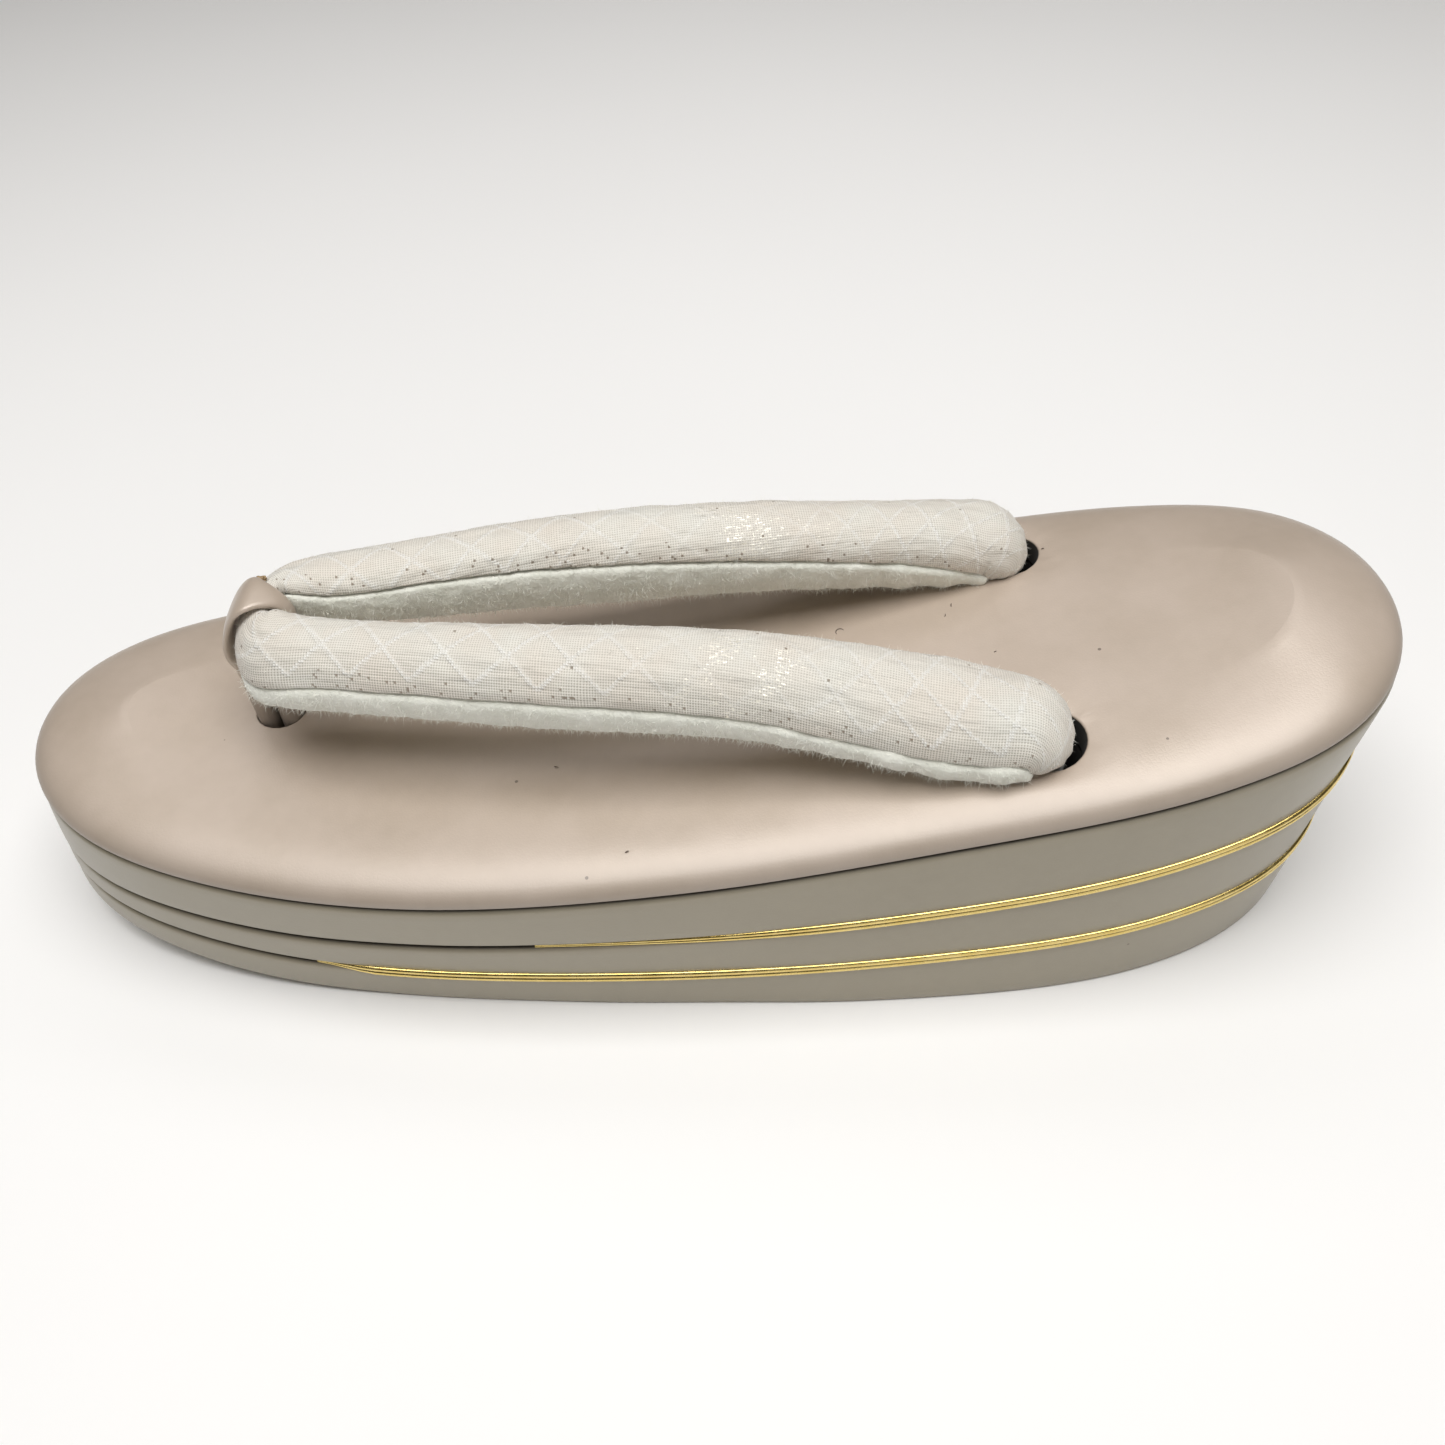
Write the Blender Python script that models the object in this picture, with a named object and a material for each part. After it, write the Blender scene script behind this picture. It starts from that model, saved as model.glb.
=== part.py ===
# Zori sandal: a built-up sole in three leather layers, a padded top, and a padded thong strap.
# Metres, +Z up. The toe points to -X and the heel to +X, and the floor is at Z = 0.
import bpy
import bmesh
from collections import namedtuple
from math import cos, degrees, hypot, pi, radians, sin

for old in list(bpy.data.objects):
    bpy.data.objects.remove(old, do_unlink=True)

# Sole and top pad
SEAM_LENGTH = 0.240         # toe to heel along the seam under the top pad
SEAM_HALF_WIDTH = 0.0415    # at the middle of the seam
SOLE_LENGTH = 0.241         # toe to heel at the floor
SOLE_HALF_WIDTH = 0.0407    # at the middle of the underside
SOLE_FORWARD = 0.0036       # how far the underside sits ahead of the seam
SEAM_AT_TOE = 0.0358        # height of the seam at the tip of the toe
SEAM_AT_BALL = 0.0318       # a quarter of the length from the toe
SEAM_AT_MIDDLE = 0.0357
SEAM_AT_HEEL = 0.0571
TOE_SPRING = 0.0100         # rise of the underside at the tip of the toe
SPRING_START = 0.042        # distance of the first lifted point from the middle of the sole
PAD_RISE = 0.0052           # the pad's thickness above the seam
PAD_LIP = 0.0006            # small roll of the pad's lower edge
PAD_ROUND = 0.0098          # how far in the pad's rounded edge reaches
EDGE_ROLL = 0.0013          # rolled edge of each leather layer
FLOOR_ROLL = 0.0006         # the crisper edge at the floor
GROOVE_DEPTH = 0.0015
GAP = 0.0003                # clearance between pieces that touch
SHARP_ANGLE = 40.0          # edges sharper than this many degrees stay crisp

# Holes
POST_HOLE_X = -0.0746
POST_HOLE_RADIUS = 0.0045
STRAP_HOLE_X = 0.0600
STRAP_HOLE_OUT = 0.0230     # distance of each rear hole from the centre line
STRAP_HOLE_RADIUS = 0.0060
HOLE_DEPTH = 0.0050         # depth below the seam
HOLE_SIDES = 32

# Strap
JOINT_AHEAD = 0.0026        # the straps' joint sits this far behind the post's hole
STRAP_RISE = 0.0210         # centre of the strap above the pad, near the toe
STRAP_HALF_WIDTH = 0.0095
STRAP_HALF_THICK = 0.0075
CLOTH_CLEARANCE = 0.00018   # each half of the strap keeps this far from the seam line
PEG_RADIUS = 0.0042         # the rolled end that goes down into the hole
PEG_TAPER = 0.85            # its lower radius as a share of the upper
PEG_OVERLAP = 0.40          # how far it reaches up into the strap, of the strap's half thickness
PEG_SIDES = 24

# Toe post
BAND_HALF_THICK = 0.0010    # where the loop passes over the straps
BAND_HALF_WIDTH = 0.0046
LOOP_CLEARANCE = 0.0004     # between the loop and the straps
LOOP_START = 22.0           # the loop begins at the front leg, in degrees round the joint
LOOP_END = 332.0            # and ends at the rear leg
BEHIND_START = 150.0        # from here the loop runs behind the joint
BEHIND_TURN = 55.0          # and takes this much turn to become narrow
BEHIND_NARROW = 0.66        # share of its width that it loses there
BEHIND_ROOM = 0.0016        # extra room between the loop and the straps behind the joint
LEG_HALF_THICK = 0.0019     # each of the two legs below the straps
LEG_HALF_WIDTH = 0.0033
LEG_SLIT = 0.00036          # slit between the two legs

# Metallic cord in the grooves
CORD_RADIUS = 0.00055
CORD_INSET = 0.00035        # centre of the cord inside the wall's face

AROUND = 72                 # points around each outline
HALF = SEAM_LENGTH / 2

# Fullness of each outline against an ellipse, every 22.5 degrees from the toe round to the heel,
# and the share of the wall's height at which each groove runs.
Outline = namedtuple("Outline", "turn seam sole upper_groove lower_groove")
OUTLINE = [
    Outline(0.0, 1.369, 1.278, 0.44, 0.19),
    Outline(22.5, 1.287, 1.231, 0.49, 0.23),
    Outline(45.0, 1.150, 1.119, 0.57, 0.29),
    Outline(67.5, 1.064, 1.019, 0.60, 0.30),
    Outline(90.0, 1.000, 1.000, 0.60, 0.285),
    Outline(112.5, 1.012, 1.086, 0.615, 0.305),
    Outline(135.0, 1.186, 1.240, 0.65, 0.325),
    Outline(157.5, 1.429, 1.384, 0.66, 0.33),
    Outline(180.0, 1.546, 1.442, 0.66, 0.33),
]

# A rolled leather edge, from the bottom of the groove out to the wall's face: how far in and how far
# along the wall, as shares of the roll.
Roll = namedtuple("Roll", "inset lift")
ROLL = [
    Roll(1.0, 0.0),
    Roll(0.3, 0.4),
    Roll(0.0, 1.0),
]
PAD_ROUND_STEPS = 6         # sections of the pad's rounded edge

# Sections of one strap arm, from the joint at the toe to the tip over the rear hole: along as a share
# of the way to the hole's centre, out of the hole's distance, rise, wide and thick of the strap's own
# sizes. Tilt turns the outer edge down, and the two seam angles part brocade and fleece.
Section = namedtuple("Section", "along out rise tilt wide thick outer_seam inner_seam")
ARM = [
    Section(0.000, 0.000, 1.070, 66, 0.76, 0.45, 30, 200),
    Section(0.007, 0.180, 1.065, 63, 0.77, 0.48, 30, 200),
    Section(0.026, 0.330, 1.040, 54, 0.79, 0.57, 30, 198),
    Section(0.062, 0.412, 1.020, 42, 0.83, 0.69, 30, 195),
    Section(0.120, 0.450, 1.010, 35, 0.86, 0.77, 32, 191),
    Section(0.205, 0.510, 1.000, 35, 0.89, 0.84, 33, 188),
    Section(0.320, 0.596, 0.976, 35, 0.925, 0.93, 35, 188),
    Section(0.430, 0.660, 0.924, 35, 0.95, 1.00, 36, 190),
    Section(0.545, 0.717, 0.852, 35, 0.96, 1.01, 36, 195),
    Section(0.660, 0.778, 0.729, 35, 0.965, 0.985, 36, 201),
    Section(0.773, 0.865, 0.545, 34, 1.00, 0.95, 36, 207),
    Section(0.850, 0.930, 0.405, 31, 1.00, 0.94, 36, 211),
    Section(0.910, 0.975, 0.300, 25, 0.98, 0.95, 35, 214),
    Section(0.955, 1.000, 0.220, 16, 0.91, 0.92, 33, 218),
]
# Beyond the fleece the brocade closes round the whole end.
TIP = [
    Section(0.959, 1.000, 0.215, 15, 0.90, 0.91, 33, 218),
    Section(0.968, 1.000, 0.200, 13, 0.88, 0.88, -55, 235),
    Section(0.990, 1.000, 0.160, 9, 0.79, 0.78, -55, 235),
    Section(1.010, 1.000, 0.110, 6, 0.65, 0.60, -55, 235),
    Section(1.024, 1.000, 0.060, 4, 0.50, 0.38, -55, 235),
]
ARM_STEPS = 2               # sections made for each row of the arm's table
ARC_STEPS = 11              # points along the round side of each half of a strap section
CHORD_STEPS = 6             # parts of the flat face between brocade and fleece
BAND_STEPS = 12             # points round the toe post's band
LOOP_STEPS = 16             # sections of its loop

# Legs of the toe post below the straps: height as a share of the way from the hole's floor to the
# loop, then lean, half thickness and half width as shares of the way from leg to loop.
Leg = namedtuple("Leg", "height lean thin wide")
LEGS = [
    Leg(0.00, 0.00, 0.00, 0.00),
    Leg(0.45, 0.00, 0.00, 0.00),
    Leg(0.65, 0.09, 0.12, 0.15),
    Leg(0.82, 0.41, 0.45, 0.40),
    Leg(0.93, 0.74, 0.75, 0.70),
]

# The grooves' metallic cords begin at these turns from the toe, on both sides.
UPPER_CORD_START = 78.0
LOWER_CORD_START = 56.0


def curve_through(values, place):
    # A smooth curve through evenly spaced values, read at a place counted in steps.
    last = len(values) - 1
    step = min(int(place), last - 1)
    here = place - step
    low = values[max(step - 1, 0)]
    a, b = values[step], values[step + 1]
    high = values[min(step + 2, last)]
    slope_a = (b - low) / 2 if step > 0 else 0.0
    slope_b = (high - a) / 2 if step + 1 < last else 0.0
    blend = here * here * (3 - 2 * here)
    lean_a = here * (1 - here) ** 2
    lean_b = here * here * (here - 1)
    return a + (b - a) * blend + slope_a * lean_a + slope_b * lean_b


def along_turn(column, turn):
    # A column of the outline table at any turn, the same on both sides.
    values = [getattr(row, column) for row in OUTLINE]
    return curve_through(values, abs(turn) / (OUTLINE[1].turn - OUTLINE[0].turn))


def at_floor(turn):
    return 0.0


def at_seam(turn):
    return 1.0


def upper_groove(turn):
    return along_turn("upper_groove", turn)


def lower_groove(turn):
    return along_turn("lower_groove", turn)


def seam_height(x):
    # The cubic through the seam's four heights.
    knots = [(-1.0, SEAM_AT_TOE), (-0.5, SEAM_AT_BALL), (0.0, SEAM_AT_MIDDLE), (1.0, SEAM_AT_HEEL)]
    share = x / HALF
    total = 0.0
    for place, height in knots:
        weight = 1.0
        for other, _ in knots:
            if other != place:
                weight *= (share - other) / (place - other)
        total += weight * height
    return total


def floor_height(x):
    # The underside is flat from heel to ball and curls up at the toe.
    reach = SOLE_LENGTH / 2 + SOLE_FORWARD - SPRING_START
    lift = max(0.0, -x - SPRING_START) / reach
    return TOE_SPRING * lift * lift


def pad_top(x):
    return seam_height(x) + PAD_RISE


def wall_point(turn, share):
    # A point of the side wall: share 0 at the underside, 1 at the seam.
    side = radians(turn)
    seam_x = -HALF * cos(side)
    seam_y = SEAM_HALF_WIDTH * sin(side) * along_turn("seam", turn)
    sole_x = -SOLE_LENGTH / 2 * cos(side) - SOLE_FORWARD
    sole_y = SOLE_HALF_WIDTH * sin(side) * along_turn("sole", turn)
    low, high = floor_height(sole_x), seam_height(seam_x)
    x = sole_x + (seam_x - sole_x) * share
    y = sole_y + (seam_y - sole_y) * share
    return x, y, low + (high - low) * share


def turns():
    # Turns round the outline, from -180 at the heel past 0 at the toe.
    return [360.0 * i / AROUND - 180.0 for i in range(AROUND)]


def outline_ring(share_at, inset, lift):
    # A closed ring on the side wall, moved in by inset and up by lift.
    points = [wall_point(turn, share_at(turn)) for turn in turns()]
    ring = []
    for i, (x, y, z) in enumerate(points):
        before, after = points[i - 1], points[(i + 1) % len(points)]
        run_x, run_y = after[0] - before[0], after[1] - before[1]
        size = hypot(run_x, run_y)
        ring.append((x + run_y / size * inset, y - run_x / size * inset, z + lift))
    return ring


def new_object(name, mesh, finish, group):
    # An object in its collection, carried by the sandal's own frame.
    thing = bpy.data.objects.new(name, mesh)
    group.objects.link(thing)
    thing.parent = frame
    if finish:
        thing.data.materials.append(finish)
    return thing


def loft(name, rings, strip_caps):
    # A closed solid through rings of equal count. A strip cap joins each point with its mirror
    # point across the sandal, and a plain cap is one face.
    mesh = bmesh.new()
    rows = [[mesh.verts.new(point) for point in ring] for ring in rings]
    count = len(rows[0])
    for low, high in zip(rows, rows[1:]):
        for i in range(count):
            j = (i + 1) % count
            mesh.faces.new((low[i], low[j], high[j], high[i]))
    for ring in (rows[0], rows[-1]):
        if not strip_caps:
            mesh.faces.new(ring)
            continue
        for i in range(count // 2):
            corners = [ring[i], ring[i + 1], ring[-i - 1], ring[-i % count]]
            mesh.faces.new(list(dict.fromkeys(corners)))
    bmesh.ops.recalc_face_normals(mesh, faces=mesh.faces)
    data = bpy.data.meshes.new(name)
    mesh.to_mesh(data)
    mesh.free()
    data.shade_smooth()
    data.set_sharp_from_angle(angle=radians(SHARP_ANGLE))
    return data


def material(name, colour, roughness, metallic=0.0):
    made = bpy.data.materials.new(name)
    made.use_nodes = True
    shader = made.node_tree.nodes["Principled BSDF"]
    shader.inputs["Base Color"].default_value = (*colour, 1.0)
    shader.inputs["Roughness"].default_value = roughness
    shader.inputs["Metallic"].default_value = metallic
    return made


def hole_places():
    # Centre and radius of each hole: the toe post's, then the two straps'.
    return [
        (POST_HOLE_X, 0.0, POST_HOLE_RADIUS),
        (STRAP_HOLE_X, -STRAP_HOLE_OUT, STRAP_HOLE_RADIUS),
        (STRAP_HOLE_X, STRAP_HOLE_OUT, STRAP_HOLE_RADIUS),
    ]


def hole_floor(x):
    return seam_height(x) - HOLE_DEPTH


def make_cutters():
    # One upright cylinder for each hole, from its floor to well above the pad.
    cutters = []
    for i, (x, y, radius) in enumerate(hole_places()):
        low, high = hole_floor(x), pad_top(x) + 2 * PAD_RISE
        mesh = bmesh.new()
        bmesh.ops.create_cone(mesh, cap_ends=True, segments=HOLE_SIDES, radius1=radius,
                              radius2=radius, depth=high - low)
        data = bpy.data.meshes.new("hole")
        mesh.to_mesh(data)
        mesh.free()
        cutter = new_object("hole_cutter_%d" % (i + 1), data, None, cutter_group)
        cutter.location = (x, y, (low + high) / 2)
        cutter.hide_render = True
        cutter.display_type = "WIRE"
        cutters.append(cutter)
    return cutters


def cut_holes(thing, cutters):
    for cutter in cutters:
        cut = thing.modifiers.new("hole", "BOOLEAN")
        cut.operation = "DIFFERENCE"
        cut.solver = "EXACT"
        cut.object = cutter


def make_layer(name, low_share, high_share, gap_above, leather):
    # A leather-wrapped layer between two shares of the wall, with rolled edges. The edge at the
    # floor is crisper.
    on_floor = low_share is at_floor
    start = 0.0 if on_floor else GAP / 2
    deep, roll = (FLOOR_ROLL, FLOOR_ROLL) if on_floor else (GROOVE_DEPTH, EDGE_ROLL)
    rings = [outline_ring(low_share, deep * row.inset, start + roll * row.lift) for row in ROLL]
    for row in reversed(ROLL):
        rings.append(outline_ring(high_share, GROOVE_DEPTH * row.inset, -gap_above - EDGE_ROLL * row.lift))
    return new_object(name, loft(name, rings, True), leather, part_group)


def make_pad(leather):
    # The padded top: a small lower roll, then a quarter ellipse up to the flat of the pad.
    rings = [outline_ring(at_seam, GROOVE_DEPTH, 0.0)]
    for row in ROLL[1:]:
        rings.append(outline_ring(at_seam, PAD_LIP * row.inset, PAD_LIP * row.lift))
    for step in range(1, PAD_ROUND_STEPS + 1):
        phase = pi / 2 * step / PAD_ROUND_STEPS
        rise = PAD_LIP + (PAD_RISE - PAD_LIP) * sin(phase)
        rings.append(outline_ring(at_seam, PAD_ROUND * (1 - cos(phase)), rise))
    return new_object("top_pad", loft("top_pad", rings, True), leather, part_group)


def make_cord(name, share_at, start, metal):
    # A metallic cord in a groove, from one side of the sandal round the heel to the other.
    data = bpy.data.curves.new(name, "CURVE")
    data.dimensions = "3D"
    data.bevel_depth = CORD_RADIUS
    data.bevel_resolution = 2
    data.use_fill_caps = True
    ring = list(zip(turns(), outline_ring(share_at, CORD_INSET, 0.0)))
    points = [place for turn, place in ring if turn >= start]
    points += [place for turn, place in ring if turn <= -start]
    spline = data.splines.new("POLY")
    spline.points.add(len(points) - 1)
    for point, place in zip(spline.points, points):
        point.co = (*place, 1.0)
    return new_object(name, data, metal, part_group)


def arm_rows():
    # The arm's table with smooth rows added between its own.
    columns = [[row[i] for row in ARM] for i in range(len(Section._fields))]
    places = [i / ARM_STEPS for i in range((len(ARM) - 1) * ARM_STEPS + 1)]
    return [Section(*[curve_through(column, place) for column in columns]) for place in places]


def arm_frames(side):
    # Centre, outward direction and row for each section of one arm. Side is +1 or -1 across.
    rows = arm_rows() + TIP
    joint_x = POST_HOLE_X + JOINT_AHEAD
    centres = []
    for row in rows:
        x = joint_x + row.along * (STRAP_HOLE_X - joint_x)
        y = row.out * STRAP_HOLE_OUT
        centres.append((x, y, pad_top(x) + row.rise * STRAP_RISE))
    frames = []
    for i, (x, y, z) in enumerate(centres):
        before = centres[i - 1] if i > 0 else (x, -centres[1][1], z)
        after = centres[min(i + 1, len(centres) - 1)]
        run_x, run_y = after[0] - before[0], after[1] - before[1]
        if i == 0:
            run_x = 0.0
        size = hypot(run_x, run_y)
        outward = (-run_y / size, run_x / size * side)
        frames.append(((x, y * side, z), outward, rows[i]))
    return frames


def section_point(place, outward, row, angle):
    # A point of a strap section's ellipse, kept just above the pad.
    phase, tilt = radians(angle), radians(row.tilt)
    wide = STRAP_HALF_WIDTH * row.wide * cos(phase)
    thick = STRAP_HALF_THICK * row.thick * sin(phase)
    out = wide * cos(tilt) + thick * sin(tilt)
    x = place[0] + outward[0] * out
    z = place[2] - wide * sin(tilt) + thick * cos(tilt)
    return x, place[1] + outward[1] * out, max(z, pad_top(x) + GAP)


def strap_ring(place, outward, row, brocade):
    # One half of a section, closed by the chord between its two seams.
    margin = degrees(CLOTH_CLEARANCE / (STRAP_HALF_THICK * row.thick))
    if brocade:
        first, last = row.outer_seam + margin, row.inner_seam - margin
    else:
        first, last = row.inner_seam + margin, row.outer_seam + 360 - margin
    angles = [first + (last - first) * i / (ARC_STEPS - 1) for i in range(ARC_STEPS)]
    ring = [section_point(place, outward, row, angle) for angle in angles]
    start, end = ring[-1], ring[0]
    for i in range(1, CHORD_STEPS):
        ring.append(tuple(a + (b - a) * i / CHORD_STEPS for a, b in zip(start, end)))
    return ring


def strap_half(name, brocade, cloth):
    # Both arms as one solid: from one rear end, round the joint at the toe, to the other.
    count = len(arm_rows()) + (len(TIP) if brocade else 0)
    far = arm_frames(1)[:count]
    near = arm_frames(-1)[:count]
    stations = list(reversed(far)) + near[1:]
    rings = [strap_ring(place, outward, row, brocade) for place, outward, row in stations]
    return new_object(name, loft(name, rings, False), cloth, part_group)


def add_pegs(strap):
    # The rolled ends that go down into the rear holes, joined to the brocade.
    x = STRAP_HOLE_X - STRAP_HOLE_RADIUS + PEG_RADIUS + GAP
    low, high = hole_floor(x) + GAP, pad_top(x) + STRAP_HALF_THICK * PEG_OVERLAP
    for side in (-1, 1):
        mesh = bmesh.new()
        bmesh.ops.create_cone(mesh, cap_ends=True, segments=PEG_SIDES, radius1=PEG_RADIUS * PEG_TAPER,
                              radius2=PEG_RADIUS, depth=high - low)
        data = bpy.data.meshes.new("strap_peg")
        mesh.to_mesh(data)
        mesh.free()
        peg = new_object("strap_peg_%s" % ("far" if side > 0 else "near"), data, None, cutter_group)
        peg.location = (x, side * STRAP_HOLE_OUT, (low + high) / 2)
        peg.hide_render = True
        peg.display_type = "WIRE"
        join = strap.modifiers.new("peg", "BOOLEAN")
        join.operation = "UNION"
        join.solver = "EXACT"
        join.object = peg


def post_path():
    # Centre line of the leather loop in the plane Y = 0, with half thickness and half width.
    joint = ARM[0]
    joint_x = POST_HOLE_X + JOINT_AHEAD
    joint_z = pad_top(joint_x) + joint.rise * STRAP_RISE
    tilt = radians(joint.tilt)
    reach_long = STRAP_HALF_WIDTH * joint.wide + LOOP_CLEARANCE + BAND_HALF_THICK
    reach_short = STRAP_HALF_THICK * joint.thick + LOOP_CLEARANCE + BAND_HALF_THICK
    loop = []
    for step in range(LOOP_STEPS + 1):
        angle = LOOP_START + (LOOP_END - LOOP_START) * step / LOOP_STEPS
        # The band is full over the front and the top. Behind, between the arms, it is narrow and
        # stands off a little more.
        behind = min(max((angle - BEHIND_START) / BEHIND_TURN, 0.0), 1.0)
        long_way = reach_long * cos(radians(angle))
        short_way = (reach_short + BEHIND_ROOM * behind) * sin(radians(angle))
        x = joint_x - long_way * cos(tilt) - short_way * sin(tilt)
        z = joint_z - long_way * sin(tilt) + short_way * cos(tilt)
        half_width = BAND_HALF_WIDTH * (1 - BEHIND_NARROW * behind)
        loop.append((x, z, BAND_HALF_THICK, half_width))
    floor = hole_floor(POST_HOLE_X) + GAP
    spread = LEG_HALF_THICK + LEG_SLIT / 2
    legs = []
    for side, top in ((-1, loop[0]), (1, loop[-1])):
        foot_x = POST_HOLE_X + side * spread
        leg = []
        for row in LEGS:
            x = foot_x + (top[0] - foot_x) * row.lean
            z = floor + (top[1] - floor) * row.height
            half_thick = LEG_HALF_THICK + (top[2] - LEG_HALF_THICK) * row.thin
            half_width = LEG_HALF_WIDTH + (top[3] - LEG_HALF_WIDTH) * row.wide
            leg.append((x, z, half_thick, half_width))
        legs.append(leg)
    return legs[0] + loop + list(reversed(legs[1]))


def make_post(leather):
    # A soft-edged band swept up one leg, over the straps' joint and down the other leg.
    path = post_path()
    rings = []
    for i, (x, z, half_thick, half_width) in enumerate(path):
        before, after = path[max(i - 1, 0)], path[min(i + 1, len(path) - 1)]
        run_x, run_z = after[0] - before[0], after[1] - before[1]
        if i in (0, len(path) - 1):
            run_x = 0.0
        size = hypot(run_x, run_z)
        across = (-run_z / size, run_x / size)
        ring = []
        for step in range(BAND_STEPS):
            phase = 2 * pi * step / BAND_STEPS
            deep = half_thick * sin(phase)
            wide = half_width * cos(phase)
            ring.append((x + across[0] * deep, wide, z + across[1] * deep))
        rings.append(ring)
    return new_object("toe_post", loft("toe_post", rings, False), leather, part_group)


part_group = bpy.data.collections.new("zori_sandal")
cutter_group = bpy.data.collections.new("cutters")
for group in (part_group, cutter_group):
    bpy.context.scene.collection.children.link(group)

# The frame centres the sandal between the tip of the underside and the back of the seam.
frame = bpy.data.objects.new("zori_frame", None)
part_group.objects.link(frame)
frame.location.x = -(HALF - SOLE_LENGTH / 2 - SOLE_FORWARD) / 2

pearl_leather = material("pearl_leather", (0.60, 0.53, 0.47), 0.38)
side_leather = material("side_leather", (0.33, 0.29, 0.24), 0.42)
gold_cord = material("gold_cord", (0.72, 0.58, 0.34), 0.35, 0.8)
brocade_cloth = material("brocade", (0.78, 0.76, 0.71), 0.6)
fleece = material("fleece", (0.82, 0.83, 0.77), 0.95)

hole_cutters = make_cutters()
cut_holes(make_pad(pearl_leather), hole_cutters)
upper_layer = make_layer("sole_layer_upper", upper_groove, at_seam, GAP, side_leather)
cut_holes(upper_layer, hole_cutters)
make_layer("sole_layer_middle", lower_groove, upper_groove, GAP / 2, side_leather)
make_layer("sole_layer_lower", at_floor, lower_groove, GAP / 2, side_leather)
make_cord("gold_piping_upper", upper_groove, UPPER_CORD_START, gold_cord)
make_cord("gold_piping_lower", lower_groove, LOWER_CORD_START, gold_cord)
add_pegs(strap_half("strap_upper", True, brocade_cloth))
strap_half("strap_lining", False, fleece)
make_post(pearl_leather)
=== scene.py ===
# Zori sandal, dressed: pearly padded top, three leather-wrapped layers, gold piping in the grooves,
# a brocade and fleece thong strap and a leather toe post. Metres, toe at -X, floor at Z = 0.
import math
import bpy
import bmesh
import numpy as np
from mathutils import Matrix, Vector, noise


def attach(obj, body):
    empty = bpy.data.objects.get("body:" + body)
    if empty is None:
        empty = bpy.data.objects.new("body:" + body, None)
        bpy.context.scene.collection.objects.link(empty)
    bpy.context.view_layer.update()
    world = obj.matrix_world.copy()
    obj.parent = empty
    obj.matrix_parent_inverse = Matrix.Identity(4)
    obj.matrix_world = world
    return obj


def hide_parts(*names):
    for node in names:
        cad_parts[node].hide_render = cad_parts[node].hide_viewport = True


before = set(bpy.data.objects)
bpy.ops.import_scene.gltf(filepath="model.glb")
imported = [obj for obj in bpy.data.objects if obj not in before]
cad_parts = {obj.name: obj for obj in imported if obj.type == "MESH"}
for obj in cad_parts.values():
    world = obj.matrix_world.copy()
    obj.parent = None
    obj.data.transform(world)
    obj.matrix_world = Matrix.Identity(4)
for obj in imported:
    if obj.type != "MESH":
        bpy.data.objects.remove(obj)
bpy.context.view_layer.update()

# The last: sizes that every piece follows.
lastForm = {
    "shiftX": 0.00205,              # the frame is centred on the whole shoe
    "seamLength": 0.240,
    "seamHalfWidth": 0.0415,
    "soleLength": 0.241,
    "soleHalfWidth": 0.0407,
    "soleForward": 0.0036,
    "seamHeights": ((-1.0, 0.0358), (-0.5, 0.0318), (0.0, 0.0357), (1.0, 0.0571)),
    "toeSpring": 0.0100,
    "springStart": 0.042,
    "padRise": 0.0052,
    "gap": 0.0003,
    "around": 240,                  # points round each outline
    # fullness against an ellipse, and each groove's share of the wall, at even turns from toe to heel
    "turnStep": 22.5,
    "seam": (1.369, 1.287, 1.150, 1.064, 1.000, 1.012, 1.186, 1.429, 1.546),
    "sole": (1.278, 1.231, 1.119, 1.019, 1.000, 1.086, 1.240, 1.384, 1.442),
    "upperGroove": (0.44, 0.49, 0.57, 0.60, 0.60, 0.615, 0.65, 0.66, 0.66),
    "lowerGroove": (0.19, 0.23, 0.29, 0.30, 0.285, 0.305, 0.325, 0.33, 0.33),
}

holeForm = {
    "postX": -0.0746,
    "postRadius": 0.0045,
    "strapX": 0.0600,
    "strapOut": 0.0230,
    "strapRadius": 0.0060,
    "depth": 0.0050,                # below the seam
    "sides": 48,
    "above": 0.020,                 # the cutter stands out this far over the pad
    "room": 0.0001,
}


def holePlaces():
    return [(holeForm["postX"], 0.0, holeForm["postRadius"]),
            (holeForm["strapX"], -holeForm["strapOut"], holeForm["strapRadius"]),
            (holeForm["strapX"], holeForm["strapOut"], holeForm["strapRadius"])]


def curveThrough(values, place):
    # smooth curve through evenly spaced values
    last = len(values) - 1
    step = min(int(place), last - 1)
    here = place - step
    before, a, b, after = (values[max(step - 1, 0)], values[step], values[step + 1],
                           values[min(step + 2, last)])
    slopeA = (b - before) / 2 if step > 0 else 0.0
    slopeB = (after - a) / 2 if step + 1 < last else 0.0
    blend = here * here * (3 - 2 * here)
    return (a + (b - a) * blend + slopeA * here * (1 - here) ** 2
            + slopeB * here * here * (here - 1))


def softStep(low, high, value):
    share = min(max((value - low) / (high - low), 0.0), 1.0)
    return share * share * (3 - 2 * share)


def alongTurn(column, turn):
    return curveThrough(lastForm[column], abs(turn) / lastForm["turnStep"])


def seamHeight(x):
    share = x / (lastForm["seamLength"] / 2)
    total = 0.0
    for place, height in lastForm["seamHeights"]:
        weight = 1.0
        for other, _ in lastForm["seamHeights"]:
            if other != place:
                weight *= (share - other) / (place - other)
        total += weight * height
    return total


def floorHeight(x):
    reach = lastForm["soleLength"] / 2 + lastForm["soleForward"] - lastForm["springStart"]
    lift = max(0.0, -x - lastForm["springStart"]) / reach
    return lastForm["toeSpring"] * lift * lift


def padTop(x):
    return seamHeight(x) + lastForm["padRise"]


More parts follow.
